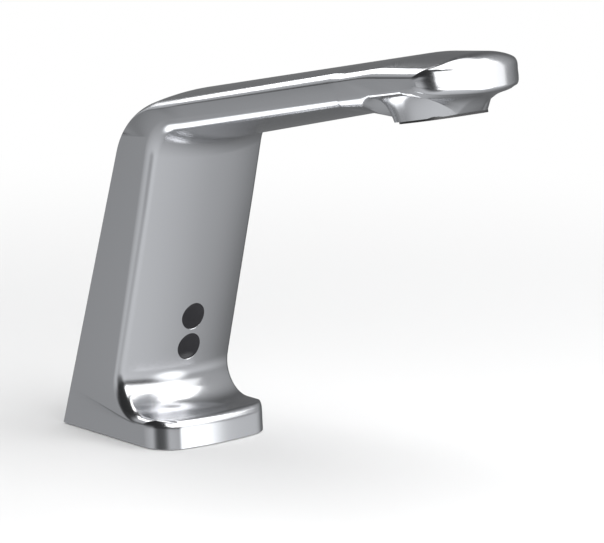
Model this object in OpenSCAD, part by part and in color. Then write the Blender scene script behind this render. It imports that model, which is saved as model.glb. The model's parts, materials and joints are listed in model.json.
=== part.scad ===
// Deck-mounted sensor tap: a hollow one-piece cast body that leans forward over a short toe and
// carries a rising spout. Inside stand an infrared sensor, a pilot valve and the waterway.
// Origin: on the deck, on the axis of the mounting shank. X is width, the spout points to -Y.

/* [Body] */
// Width of the column and the foot
body_w = 48; // [46:1:52]
// Deck footprint behind the shank's axis
base_back = 27.8; // [26.8:0.5:30]
// Deck footprint in front of the shank's axis
base_front = 27.8; // [26.8:0.5:30]
// Depth of the column on its centre line, at the deck
column_d = 31.5; // [30.5:0.5:33]
// Forward lean of the column's back, in degrees
back_lean = 17.5; // [17:0.1:18]
// Forward lean of the column's front, in degrees
front_lean = 12.7; // [12.3:0.1:13.1]
// Height of the spout's top line above the shank's axis
top_h = 113.95; // [112:0.5:118]
// Radius of the shoulder
shoulder_r = 26; // [22:1:28]
// Radius of the bend under the spout, along the side faces
bend_side_r = 14.5; // [12:0.5:16]
// Radius of the bend under the spout, on the centre line
bend_r = 8.8; // [7:0.2:10]
// Wall of the casting
wall = 2.8; // [2.4:0.1:3]
// Rounding of the long edges
edge_r = 2.6; // [2:0.1:3]
// Swell of the column's front over its side edges
front_crown = 5.8; // [5:0.1:6.2]
// Swell of the spout's top over its side edges
top_crown = 2.5; // [2:0.1:3]

/* [Foot] */
// Height of the toe
toe_h = 10; // [9:0.5:12]
// Radius of the blend between toe and column
toe_blend_r = 11; // [9:0.5:12]
// Rounding of the toe's top front edge
toe_edge_r = 3.2; // [2:0.2:4]
// Radius of the toe's corners, seen from above
toe_corner_r = 8.5; // [7:0.5:10]
// Swell of the toe's front, seen from above
toe_crown = 3; // [2:0.5:4]
// How far the toe's front flares out at the deck
toe_flare = 0.6; // [0.2:0.1:1]

/* [Spout] */
// Distance from the shank's axis to the spout's end face
reach = 155.2; // [152:0.5:162]
// Width of the spout at its end
tip_w = 39.2; // [38:0.2:42]
// Height of the spout on its centre line, over the shank's axis
spout_t = 18.8; // [18.4:0.1:20]
// Rise of the spout's top, in degrees
top_rise = 12.8; // [12.4:0.1:13.2]
// Rise of the spout's underside on the centre line, in degrees
under_rise = 14.1; // [13.7:0.1:14.5]
// Rise of the side face's lower edge, in degrees
side_rise = 12.1; // [11.7:0.1:12.5]
// Height of the flat side face over the shank's axis
side_face = 3.3; // [3:0.1:3.6]
// Height of the end face
end_h = 11.6; // [11:0.2:13]
// Rounding of the end's top edge
tip_r = 6; // [4:0.5:7]
// Swell of the end face, seen from above
tip_crown = 7; // [6:0.5:8]
// Radius of the end's corners, seen from above
tip_corner_r = 5.6; // [4.6:0.2:6]

/* [Nozzle] */
// Distance from the shank's axis to the nozzle's centre
nozzle_s = 135.5; // [133:0.5:138]
// Width of the nozzle's flat bottom
nozzle_w = 30; // [30:0.5:32]
// Length of the nozzle's flat bottom
nozzle_l = 24.5; // [24:0.5:26]
// Depth of the nozzle below the spout's underside, at its centre
nozzle_h = 4.6; // [4.2:0.2:5.2]
// Tilt of the nozzle's bottom, in degrees
nozzle_tilt = 12.1; // [11.7:0.1:12.5]
// Radius of the nozzle's corners, seen from below
nozzle_corner_r = 10; // [8:0.5:11]
// Length of the ramp behind the nozzle
ramp_l = 13; // [11:0.5:15]

/* [Aerator] */
// Radius of the aerator's thread, if the nozzle has room for it
aerator_r = 8.2; // [8:0.1:8.2]
// Height of the aerator
aerator_h = 8; // [7:0.5:8.5]
// Thickness of the outlet fitting's bottom plate
outlet_plate_t = 1.2; // [1:0.1:1.6]
// How far the outlet fitting's bottom plate stands out
outlet_proud = 0.7; // [0.4:0.1:1]
// Wall between the aerator's thread and the outside of the outlet fitting
outlet_wall = 1; // [0.9:0.1:1.2]

/* [Sensor] */
// Radius of each window
window_r = 4.65; // [4:0.05:4.9]
// Distance between the windows' centres
window_gap = 10.95; // [10.6:0.05:12]
// Height above the deck of the point midway between the windows
window_h = 35.15; // [34.5:0.5:38]
// Depth of the sensor's housing
sensor_d = 8; // [7.5:0.25:8.5]
// Half width of the sensor's housing
sensor_half_w = 8.6; // [8.2:0.1:8.8]
// Half height of the sensor's housing
sensor_half_h = 12.2; // [11.8:0.1:12.4]

/* [Valve] */
// Radius of the solenoid's can
can_r = 7.4; // [7.2:0.1:7.5]
// Length of the solenoid's can
can_l = 21; // [19:0.5:21]
// Height of the valve's parting face, measured along the column
valve_h = 79.5; // [78:0.5:81]
// Half width of the valve's block
valve_half_w = 10.8; // [10.6:0.1:11]
// Height of the valve's body above its parting face
valve_body_h = 12.5; // [12:0.5:13.5]
// Thickness of the bonnet
bonnet_t = 4.6; // [4.4:0.2:5]
// Radius of the valve's seat bore
seat_r = 2.4; // [2:0.1:2.5]
// Travel of the plunger
plunger_travel = 2.5; // [2:0.1:2.8]
// Radius of the plunger
plunger_r = 3.5; // [3.3:0.1:3.6]

/* [Water] */
// Outer radius of the outlet tube
tube_r = 3.4; // [3:0.1:3.5]
// Wall of the tubes
tube_wall = 0.8; // [0.6:0.1:1]
// Radius of the outlet tube's bend
tube_bend_r = 22; // [20:1:24]
// Outer radius of the riser tube
riser_r = 3.2; // [3:0.1:3.4]
// Radius of the inlet's thread
inlet_r = 4.5; // [4.3:0.1:4.6]
// Length of the inlet's thread
inlet_l = 10; // [9:0.5:11]
// Travel of the check valve's poppet
poppet_travel = 2; // [1.5:0.1:2.2]

/* [Mounting] */
// Outer radius of the mounting shank
shank_r = 14; // [13.8:0.1:14.5]
// Wall of the mounting shank
shank_wall = 3; // [2.6:0.1:3]
// Length of the mounting shank below the deck
shank_l = 45; // [40:1:60]
// Thickness of the base plate
plate_t = 3.5; // [3:0.1:4]
// Thickness of the deck that the drawn washers leave room for
deck_t = 12; // [8:1:15]
// How far the deck gasket lifts the casting
gasket_lift = 0.4; // [0.3:0.1:0.8]
// Radius of the washers under the deck
washer_r = 25; // [22:0.5:27]
// Distance across the mounting nut's flats
nut_af = 36; // [34:1:38]

/* [Hidden] */
$fn = 64;

// Small sizes that several pieces share
overrun = 1;
fit_gap = 0.05;
running_gap = 0.06;
rest_gap = 0.1;
loose_gap = 0.4;
screw_r = 1;
screw_head_r = 1.8;
screw_head_h = 1.2;
screw_bite = 4;
socket_r = 0.8;
socket_floor = 0.3;
sheet_t = 1.2;
rubber_t = 0.8;
o_ring_t = 0.8;

// Slopes of the profile's lines
back_k = tan(back_lean);
front_k = tan(front_lean);
top_k = tan(top_rise);
under_k = tan(under_rise);
side_k = tan(side_rise);
nozzle_k = tan(nozzle_tilt);

// Profile lines in s (forward) and z (up); o is how far a line lies inside the outer skin
function back_s(z, o = 0) = -base_back + back_k * z + o / cos(back_lean);
function front_s(z, o = 0) = -base_back + column_d + front_k * z - o / cos(front_lean);
function top_z(s, o = 0) = top_h + top_k * s - o / cos(top_rise);
function under_z(s, o = 0) = top_h - spout_t + under_k * s + o / cos(under_rise);
function low_z(s) = top_h - top_crown - edge_r - side_face + side_k * s;
// Crossing of the line s = a + k z with the line z = b + m s
function meet(a, k, b, m) = let (s = (a + k * b) / (1 - k * m)) [s, b + m * s];
// Half width of the body at s
taper_share = 0.216;
function half_w(s) = let (t = (s / reach - taper_share) / (1 - taper_share))
    body_w / 2 - max(0, t) * (body_w - tip_w) / 2;

// Rounded paths: corners V with radii R, N steps in each arc and M points on each straight run
function unit(v) = v / norm(v);
function lerp(a, b, t) = a + (b - a) * t;
function clamp01(t) = min(1, max(0, t));
function reversed(v) = [for (i = [len(v) - 1:-1:0]) v[i]];
function half_angle(a, b, c) = acos(unit(a - b) * unit(c - b)) / 2;
function arc_centre(a, b, c, r) = b + unit(unit(a - b) + unit(c - b)) * r / sin(half_angle(a, b, c));
function arc_turn(a, b, c) = (cross(b - a, c - b) > 0 ? 1 : -1) * (180 - 2 * half_angle(a, b, c));
function arc_start(a, b, c, r) =
    let (p = b + unit(a - b) * r / tan(half_angle(a, b, c)) - arc_centre(a, b, c, r)) atan2(p[1], p[0]);
function arc_at(a, b, c, r, n) = r == 0 ? [b] : [for (i = [0:n])
    let (q = arc_start(a, b, c, r) + arc_turn(a, b, c) * i / n)
        arc_centre(a, b, c, r) + r * [cos(q), sin(q)]];
function path_pts(V, R, N, M) =
    let (last = len(V) - 1, arcs = [for (i = [0:last])
        i == 0 || i == last ? [V[i]] : arc_at(V[i - 1], V[i], V[i + 1], R[i], N[i])])
    [for (i = [0:last]) each concat(arcs[i], i == last ? [] :
        [for (j = [1:1:M[i]]) lerp(arcs[i][len(arcs[i]) - 1], arcs[i + 1][0], j / (M[i] + 1))])];
// Values along such a path: Q holds one value for each corner
function path_vals(Q, R, N, M) =
    let (last = len(Q) - 1, at = [for (i = [0:last]) i == 0 || i == last || R[i] == 0 ? 1 : N[i] + 1])
    [for (i = [0:last]) each concat([for (j = [1:at[i]]) Q[i]],
        i == last ? [] : [for (j = [1:1:M[i]]) lerp(Q[i], Q[i + 1], j / (M[i] + 1))])];

// Stations across the width, close together where the long edges are rounded
width_steps = 9;
width_shares = [for (j = [-width_steps:width_steps]) sin(90 * j / width_steps)];
width_n = len(width_shares);
// Share of the way from a skin's centre line to its side line, at x: a crown, then an edge fillet
function edge_share(x, half, r, span) =
    let (f = min(1, r / max(abs(span), r)), d = clamp01((x - half + r) / r))
    (1 - f) * pow(x / half, 2) + f * (1 - sqrt(1 - d * d));
// The same under the nozzle: flat out to x = flat, then a hollow flank
function cove_share(x, half, flat) = 1 - pow(1 - clamp01((x - flat) / (half - flat)), cove_bulge_share);
// One row of points across a skin, from its centre point C and its side point E
function row(C, E, r, inner = 0, slope = 0, flat = 0, cove = 0) =
    [for (u = width_shares) let (half = half_w(E[0]) - inner, x = abs(u) * half,
        s = lerp(C[0], E[0], edge_share(x, half, r, E[0] - C[0])), rise = E[1] - C[1] - slope * (E[0] - C[0]),
        share = lerp(edge_share(x, half, min(r, edge_r), rise), cove_share(x, half, flat), cove))
        [u * half, -s, C[1] + slope * (s - C[0]) + rise * share]];
// A closed solid from two runs of rows that face each other
module loft(A, B) {
    w = 2 * width_n;
    rings = [for (i = [0:len(A) - 1]) concat(A[i], reversed(B[i]))];
    last = len(A) - 1;
    walls = [for (i = [0:last - 1], j = [0:w - 1]) let (a = i * w + j, b = i * w + (j + 1) % w)
        each [[a, b, b + w], [a, b + w, a + w]]];
    caps = [for (k = [0:1], j = [0:width_n - 2]) let (o = k * last * w, a = o + j, b = o + w - 1 - j)
        each k == 0 ? [[a, b, b - 1], [a, b - 1, a + 1]] : [[a, b - 1, b], [a, a + 1, b - 1]]];
    polyhedron([for (r = rings) each r], concat(walls, caps));
}

// Outer skin. A runs up the back and along the top; B runs up the toe and the front and along
// the underside. Both have as many points, and each pair of them carries one ring of the skin.
cove_bulge_share = 1.7;
inner_r = 0.8;
ramp_r = 8;
ridge_r = 3;
lip_r = 1.6;
cove_r = 14;
nose_r = 60;
nose_l = 22;
nose_ease_share = 0.105;
end_tilt = 1.2;
deck_z = gasket_lift;
front_inset = front_crown + edge_r;
top_inset = top_crown + edge_r;
toe_inset = toe_crown + toe_corner_r;
tip_inset = tip_crown + tip_corner_r;
end_k = tan(top_rise + end_tilt);
foot_s = base_front - toe_flare;
blend_top_z = toe_h + toe_blend_r;
nozzle_z = under_z(nozzle_s) - nozzle_h;
nozzle_half_l = nozzle_l / 2 * cos(nozzle_tilt);
ramp_s = nozzle_s - nozzle_half_l - ramp_l;
flat_s = ramp_s - spout_t * sin(top_rise);
function nozzle_bottom_z(s) = nozzle_z + nozzle_k * (s - nozzle_s);
// Half width of the nozzle's flat bottom at s
function nozzle_half_w(s) = let (d = max(0, abs(s - nozzle_s) - nozzle_half_l + nozzle_corner_r))
    nozzle_w / 2 - nozzle_corner_r + sqrt(max(0, nozzle_corner_r * nozzle_corner_r - d * d));
// The spout's top from its start of curvature to its end at s = e, as two corners
function nose(e, drop) = let (n = e - nose_l, z = top_z(n) - drop)
    [[n, z], [e, z + (top_k - nose_ease_share) * nose_l]];

A_arcs = [0, 0, 8, 0, 4, 7, 0];
A_runs = [20, 8, 14, 13, 4, 0, 0];
tip_top = nose(reach, 0)[1];
tip_low = tip_top + [end_k * end_h, -end_h];
tip_cut_share = 0.65;
A_radii = [0, 0, shoulder_r, 0, nose_r, tip_r, 0];
A_centre = path_pts(concat([[back_s(deck_z), deck_z], [back_s(blend_top_z), blend_top_z],
    meet(back_s(0), back_k, top_z(0), top_k), [flat_s, top_z(flat_s)]],
    nose(reach, 0), [lerp(tip_top, tip_low, tip_cut_share)]), A_radii, A_arcs, A_runs);
side_end_s = reach - tip_inset;
side_tip = nose(side_end_s, top_inset)[1];
side_tip_h = side_tip[1] - low_z(side_end_s);
side_low = [side_end_s + end_k * side_tip_h, low_z(side_end_s + end_k * side_tip_h)];
side_tip_r_share = 0.15;
A_side_radii = [0, 0, shoulder_r - top_crown, 0, nose_r, tip_r * side_tip_r_share, 0];
A_side = path_pts(concat([[back_s(deck_z), deck_z], [back_s(blend_top_z), blend_top_z],
    meet(back_s(0), back_k, top_z(0) - top_inset, top_k), [flat_s, top_z(flat_s) - top_inset]],
    nose(side_end_s, top_inset), [lerp(side_tip, side_low, tip_cut_share / 2)]),
    A_side_radii, A_arcs, A_runs);
A_round = path_vals([edge_r, edge_r, edge_r, edge_r, edge_r, tip_corner_r, tip_corner_r],
    A_radii, A_arcs, A_runs);

B_arcs = [0, 5, 8, 8, 3, 3, 3, 4, 4, 0];
B_runs = [1, 5, 8, 14, 3, 6, 0, 0, 0, 0];
B_radii = [0, toe_edge_r, toe_blend_r, bend_r, ramp_r, ridge_r, lip_r, cove_r, lip_r, 0];
nozzle_back = [nozzle_s - nozzle_half_l, nozzle_bottom_z(nozzle_s - nozzle_half_l)];
nozzle_front = [nozzle_s + nozzle_half_l, nozzle_bottom_z(nozzle_s + nozzle_half_l)];
cove_s_share = 0.36;
cove_z_share = 0.6;
cove_point = [lerp(nozzle_front[0], tip_low[0], cove_s_share),
    lerp(nozzle_front[1], tip_low[1], cove_z_share)];
tip_end = lerp(tip_top, tip_low, (1 + tip_cut_share) / 2);
B_centre = path_pts([[base_front, deck_z], [foot_s, toe_h], meet(front_s(0), front_k, toe_h, 0),
    meet(front_s(0), front_k, under_z(0), under_k), [ramp_s, under_z(ramp_s)], nozzle_back,
    nozzle_front, cove_point, tip_low, tip_end], B_radii, B_arcs, B_runs);
side_front = front_s(0) - front_inset;
B_side_start = path_pts([[base_front - toe_inset, deck_z], [foot_s - toe_inset, toe_h - edge_r],
    meet(side_front, front_k, toe_h - edge_r, 0), meet(side_front, front_k, low_z(0), side_k),
    [ramp_s, low_z(ramp_s)]], [0, toe_edge_r / 2, toe_blend_r, bend_side_r, 0], B_arcs, B_runs);
B_side_end = path_pts([side_low - [edge_r, edge_r * side_k] / 2, side_low,
    lerp(side_tip, side_low, (1 + tip_cut_share) / 2)], [0, edge_r / 4, 0], [0, B_arcs[8], 0], [0, 0, 0]);
// Side points at the nozzle keep to the side face's lower edge, spread as the centre points are
side_ridge_s = nozzle_back[0] + edge_r / 2;
pod_last = len(B_centre) - 1 - B_arcs[8] - 2;
function side_pod_s(s) = s < nozzle_back[0] ?
    lerp(ramp_s, side_ridge_s, clamp01((s - ramp_s) / (nozzle_back[0] - ramp_s))) :
    lerp(side_ridge_s, B_side_end[0][0], (s - nozzle_back[0]) / (B_centre[pod_last][0] - nozzle_back[0]));
B_side = concat(B_side_start, [for (i = [len(B_side_start):pod_last])
    let (s = side_pod_s(B_centre[i][0])) [s, low_z(s)]], [for (i = [1:len(B_side_end) - 1]) B_side_end[i]]);
B_round = path_vals([toe_corner_r, toe_corner_r, edge_r, edge_r, edge_r, edge_r, edge_r, tip_corner_r,
    tip_corner_r, tip_corner_r], B_radii, B_arcs, B_runs);
function on_pod(s) = s >= nozzle_back[0] && s <= nozzle_front[0] ? 1 : 0;
function pod_cove(s) = s < nozzle_back[0] ? clamp01(1 - (nozzle_back[0] - s) / ridge_r) :
    clamp01((tip_low[0] - s) / (tip_low[0] - nozzle_front[0]));
function pod_flat(s) = nozzle_half_w(max(nozzle_back[0], min(nozzle_front[0], s))) * pod_cove(s);
A_rows = [for (i = [0:len(A_centre) - 1]) row(A_centre[i], A_side[i], A_round[i])];
B_rows = [for (i = [0:len(B_centre) - 1]) let (s = B_centre[i][0])
    i < len(B_side_start) ? row(B_centre[i], B_side[i], B_round[i]) :
    row(B_centre[i], B_side[i], B_round[i], 0, nozzle_k * on_pod(s), pod_flat(s), pod_cove(s))];

// Inside of the casting, one wall in from the outer skin
inner_share = pow(1 - 2 * wall / body_w, 2);
in_front = front_crown * inner_share + inner_r;
in_top = top_crown * inner_share + inner_r;
in_toe = toe_crown * inner_share + toe_corner_r - wall;
function in_low_z(s) = under_z(s, wall) + (low_z(s) - edge_r - under_z(s)) * inner_share + inner_r;
in_end_s = nozzle_front[0] - wall;
in_side_s = in_end_s - tip_crown;
in_foot = [base_front - wall, -overrun];
in_toe_top = [foot_s - wall, toe_h - wall];
C_arcs = [0, 8, 0];
C_runs = [14, 12, 0];
C_centre = path_pts([[back_s(-overrun, wall), -overrun], meet(back_s(0, wall), back_k, top_z(0, wall), top_k),
    [in_end_s, top_z(in_end_s, wall)]], [0, shoulder_r - wall, 0], C_arcs, C_runs);
C_side = path_pts([[back_s(-overrun, wall), -overrun],
    meet(back_s(0, wall), back_k, top_z(0, wall) - in_top, top_k),
    [in_side_s, top_z(in_side_s, wall) - in_top]], [0, shoulder_r - wall - top_crown, 0], C_arcs, C_runs);
D_arcs = [0, 2, 4, 8, 0];
D_runs = [0, 1, 5, 12, 0];
D_centre = path_pts([in_foot, in_toe_top, meet(front_s(0, wall), front_k, toe_h - wall, 0),
    meet(front_s(0, wall), front_k, under_z(0, wall), under_k), [in_end_s, under_z(in_end_s, wall)]],
    [0, inner_r, toe_blend_r + wall, bend_r + wall, 0], D_arcs, D_runs);
in_side_front = front_s(0, wall) - in_front;
D_side = path_pts([in_foot - [in_toe, 0], in_toe_top - [in_toe, inner_r],
    meet(in_side_front, front_k, toe_h - wall - inner_r, 0),
    meet(in_side_front, front_k, in_low_z(0), (in_low_z(reach) - in_low_z(0)) / reach),
    [in_side_s, in_low_z(in_side_s)]], [0, inner_r, toe_blend_r, bend_side_r, 0], D_arcs, D_runs);
D_round = path_vals([toe_corner_r - wall, toe_corner_r - wall, inner_r, inner_r, inner_r],
    [0, 1, 1, 1, 0], D_arcs, D_runs);
C_rows = [for (i = [0:len(C_centre) - 1]) row(C_centre[i], C_side[i], inner_r, wall)];
D_rows = [for (i = [0:len(D_centre) - 1]) row(D_centre[i], D_side[i], D_round[i], wall)];

// Frames: along the column, along its back and front walls, and square to the nozzle's bottom
axis_lean = (back_lean + front_lean) / 2;
axis_s = (back_s(0) + front_s(0)) / 2;
module on_axis(h = 0, d = 0, x = 0)
    translate([0, -axis_s, 0]) rotate([axis_lean, 0, 0]) translate([x, -d, h]) children();
module on_back(h = 0, x = 0)
    translate([0, base_back, 0]) rotate([back_lean, 0, 0]) translate([x, 0, h]) children();
module on_front(up = 0, out = 0, x = 0) translate([0, -front_s(window_h), window_h])
    rotate([90 + front_lean, 0, 0]) translate([x, up, out]) children();
module on_nozzle(h = 0)
    translate([0, -nozzle_s, nozzle_z]) rotate([-nozzle_tilt, 0, 0]) translate([0, 0, h]) children();
module in_side_plane(x = 0) translate([x, 0, 0]) rotate([90, 0, -90]) children();

// Plain building blocks; slab() takes half sizes across and its full height
module slab(x, y, z) translate([-x, -y, 0]) cube([2 * x, 2 * y, z]);
module bore(r, h) translate([0, 0, -overrun]) cylinder(r = r, h = h + 2 * overrun);
module pipe(r, inner, h) difference() {
    cylinder(r = r, h = h);
    bore(inner, h);
}
module seal_ring(r, t = o_ring_t / 2) rotate_extrude() translate([r, 0]) circle(r = t, $fn = 24);
// A ring that seals round a tube of radius r, and the groove that holds it
module tube_ring(r) seal_ring(r + fit_gap + o_ring_t / 2);
module tube_groove(r) translate([0, 0, -o_ring_t / 2 - fit_gap])
    pipe(r + 2 * fit_gap + o_ring_t + fit_gap, r - fit_gap, o_ring_t + 2 * fit_gap);
module screw(l, head_h = screw_head_h) difference() {
    union() {
        cylinder(r = screw_r, h = l);
        translate([0, 0, -head_h]) cylinder(r = screw_head_r, h = head_h);
    }
    translate([0, 0, -2 * head_h]) cylinder(r = socket_r, h = 2 * head_h - socket_floor, $fn = 6);
}
module round_plate(w, l, r, h) linear_extrude(h) {
    square([w - 2 * r, l], center = true);
    square([w, l - 2 * r], center = true);
    for (x = [-1, 1], y = [-1, 1])
        translate([x * (w / 2 - r), y * (l / 2 - r)]) circle(r = r);
}
// A round bar of radius r along the points P, in the plane of s and z
module swept_bar(P, r, sides) {
    last = len(P) - 1;
    ways = [for (i = [0:last]) unit(P[min(i + 1, last)] - P[max(i - 1, 0)])];
    points = [for (i = [0:last], k = [0:sides - 1]) let (a = 360 * k / sides)
        [P[i][0] - r * cos(a) * ways[i][1], P[i][1] + r * cos(a) * ways[i][0], r * sin(a)]];
    walls = [for (i = [0:last - 1], k = [0:sides - 1])
        let (m = i * sides + k, n = i * sides + (k + 1) % sides)
        each [[m, n + sides, n], [m, m + sides, n + sides]]];
    end = last * sides;
    ends = [for (k = [1:sides - 2]) each [[0, k, k + 1], [end, end + k + 1, end + k]]];
    polyhedron(points, concat(walls, ends));
}
// The same path with its first and last runs a little longer, to cut right through
function stretched(P) = let (n = len(P) - 1) [for (i = [0:n]) i == 0 ? P[0] - overrun * unit(P[1] - P[0]) :
    i == n ? P[n] + overrun * unit(P[n] - P[n - 1]) : P[i]];
// A coil spring that stands on z = 0
module coil_spring(r, wire, length, turns) {
    steps = turns * spring_steps;
    points = [for (i = [0:steps], k = [0:wire_sides - 1])
        let (a = 360 * i / spring_steps, b = 360 * k / wire_sides, q = r + wire * cos(b))
        [q * cos(a), q * sin(a), wire + (length - 2 * wire) * i / steps + wire * sin(b)]];
    walls = [for (i = [0:steps - 1], k = [0:wire_sides - 1])
        let (a = wire_sides * i + k, b = wire_sides * i + (k + 1) % wire_sides)
        each [[a, b + wire_sides, b], [a, a + wire_sides, b + wire_sides]]];
    end = wire_sides * steps;
    ends = [for (k = [1:wire_sides - 2]) each [[0, k, k + 1], [end, end + k + 1, end + k]]];
    polyhedron(points, concat(walls, ends));
}
spring_steps = 10;
wire_sides = 6;

// Base: the plate closes the foot from below and carries the shank
gasket_squeeze = 0.6;
plate_z = gasket_lift + gasket_squeeze;
plate_top = plate_z + plate_t;
plate_gap = 0.3;
flange_w = 2.5;
flange_t = 2;
boss_r = 3.4;
boss_h = 8;
boss_side = body_w / 2 - wall - boss_r + inner_r;
boss_back = -back_s(plate_top, wall + plate_gap) - screw_head_r - 2 * plate_gap;
boss_front_x = body_w / 2 - wall - toe_corner_r;
boss_front_s = foot_s - toe_inset - inner_r;
boss_spots = [[-boss_side, boss_back], [boss_side, boss_back], [-boss_front_x, -boss_front_s],
    [boss_front_x, -boss_front_s]];
foot_spot = [boss_side - 2 * boss_r, boss_back - boss_r / 2];
foot_spots = [[-foot_spot[0], foot_spot[1]], [foot_spot[0], foot_spot[1]]];
base_screw_l = plate_t - screw_head_h + screw_bite;
// Outline of the foot at height z, o inside the outer skin
function foot_outline(o, z) = let (half = body_w / 2 - o, r = toe_corner_r - o, span = toe_crown + r)
    concat([[-half, -back_s(z, o)], [half, -back_s(z, o)]],
    [for (u = reversed(width_shares)) [u * half, -(base_front - toe_flare - o
        - span * edge_share(abs(u) * half, half, r, span))]]);

// Nozzle: a moulded fitting closes the opening and holds the aerator
plate_margin = 1.5;
fitting_w = nozzle_w - 2 * plate_margin;
fitting_l = nozzle_l - 2 * plate_margin;
fitting_corner_r = nozzle_corner_r - plate_margin;
nozzle_rim = 3.05;
thread_r = min(aerator_r, nozzle_l / 2 - nozzle_rim - outlet_wall);
fitting_r = thread_r + outlet_wall;
washer_t = 1.2;
shelf_h = 0.8;
chamber_h = 5.2;
chamber_z = aerator_h - outlet_proud + washer_t + shelf_h;
fitting_top = chamber_z + chamber_h + outlet_wall;
outlet_screw_x = (fitting_w / 2 + fitting_r) / 2;
outlet_ring_t = 0.3;
outlet_ring_h = 2.5;
flush_head_h = 0.7;
port_wall = 1;
port_l = 7;

// Waterway lines
tube_k = (under_k + top_k) / 2;
function tube_z(s) = (under_z(s, wall) + top_z(s, wall)) / 2;
tube_inner = tube_r - tube_wall;
tube_end_s = nozzle_s - fitting_r - tube_wall;
tube_socket = 5;
tube_start_h = valve_h + valve_body_h - tube_socket;
function axis_point(h) = [axis_s + h * sin(axis_lean), h * cos(axis_lean)];
tube_corner = meet(axis_s, tan(axis_lean), tube_z(0), tube_k);
tube_end = [tube_end_s, tube_z(tube_end_s)];
tube_path = path_pts([axis_point(tube_start_h), tube_corner, tube_end],
    [0, tube_bend_r, 0], [0, 12, 0], [0, 0, 0]);
port_s = tube_end_s - port_l * cos(atan(tube_k));
module on_tube(s) translate([0, -s, tube_z(s)]) rotate([90 - atan(tube_k), 0, 0]) children();

// Valve, along the column
riser_wall = 0.7;
socket_wall = 1;
riser_x = body_w / 2 - wall - riser_r - socket_wall - loose_gap;
riser_d = -2;
valve_r = 8.2;
ear_r = 2.4;
ear_x = valve_half_w - ear_r;
chamber_r = 6.2;
diaphragm_r = 6.6;
recess_h = 3.4;
web_half = 2.8;
seat_wall = 0.9;
passage_r = 1.4;
port_r = 1.1;
port_x = chamber_r - port_r - seat_wall;
bonnet_top = valve_h - rubber_t;
bonnet_z = bonnet_top - bonnet_t;
core_r = 3.8;
core_t = 1.2;
plunger_top = bonnet_top - core_t - rest_gap;
plunger_l = 14;
pole_z = plunger_top - plunger_l - plunger_travel - rest_gap;
plunger_spring_l = plunger_l / 2 + plunger_travel + rest_gap - 2 * fit_gap;
tube_t = 0.5;
armature_inner = plunger_r + running_gap;
armature_outer = armature_inner + tube_t;
can_z = bonnet_z - can_l;
can_wall = 0.8;
bobbin_wall = 0.7;
spring_wire = 0.35;

// Check valve in the manifold, along the riser
manifold_z = plate_top + flange_t + overrun;
inlet_x = 4;
inlet_s = -4;
inlet_wall = 1.8;
strainer_t = 0.6;
strainer_r = inlet_r - loose_gap;
inlet_depth = inlet_l + strainer_t + 2 * passage_r;
manifold_l = inlet_depth + inlet_wall;
passage_z = manifold_z + inlet_depth - passage_r;
block_r = 4;
check_r = 3.4;
check_outer = check_r + socket_wall;
check_room = 2.4;
check_mid = (passage_z + riser_d * sin(axis_lean)) / cos(axis_lean);
plug_l = 3.5;
check_z = check_mid - check_room - plug_l;
check_y = -axis_point(check_mid)[0] - riser_d * cos(axis_lean);
seat_plate_z = check_mid + check_room;
seat_plate_t = 1.4;
check_hole_r = 2;
poppet_z = seat_plate_z + seat_plate_t + rest_gap + rubber_t;
poppet_r = 2.8;
poppet_t = 1.2;
stem_r = 0.9;
check_spring_solid = 3;
check_spring_l = poppet_travel + check_spring_solid;
ledge_z = poppet_z + poppet_t + check_spring_l;
riser_z = ledge_z + tube_wall;
riser_socket = 5;
riser_end = valve_h + riser_socket;
block_way = [riser_x - inlet_x, check_y + inlet_s];

// Sensor, on the front wall
pocket_cut = 0.4;
window_set = 0.25;
window_lip = 0.4;
pocket_out = wall - pocket_cut;
housing_out = pocket_out + rubber_t;
housing_wall = 1;
board_t = 1;
board_set = 0.8;
cover_out = housing_out + sensor_d;
cover_end = cover_out + sheet_t;
led_r = 2.5;
led_l = sensor_d - board_set - board_t - housing_wall / 2;
lead_r = 0.9;
lead_bend_r = 2.7;
lead_x = -5;
lead_up = 8;
lead_back = 4;
function front_point(up, out) = [front_s(window_h) + up * sin(front_lean) + out * cos(front_lean),
    window_h + up * cos(front_lean) - out * sin(front_lean)];
lead_corner = front_point(lead_up, -cover_end - lead_back);
lead_h = can_z + can_wall - lead_corner[1] * cos(axis_lean) - (lead_corner[0] - axis_s) * sin(axis_lean);
lead_d = (lead_corner[0] - axis_s) * cos(axis_lean) - lead_corner[1] * sin(axis_lean);
lead_path = path_pts([front_point(lead_up, -cover_out + board_set), lead_corner,
    lead_corner + lead_h * [sin(axis_lean), cos(axis_lean)]], [0, lead_bend_r, 0], [0, 8, 0], [0, 0, 0]);

// Carrier: a bent steel strip along the back wall
carrier_gap = 0.4;
carrier_half_w = 7.5;
carrier_face = wall + carrier_gap + sheet_t;
carrier_top = valve_h + valve_body_h;
carrier_foot = (plate_top + carrier_face * sin(back_lean)) / cos(back_lean);
post_half_w = 1.5;
post_x = sensor_half_w - post_half_w - housing_wall;
post_h = 5;
post_ups = [-sensor_half_h / 2, sensor_half_h / 4];

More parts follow.
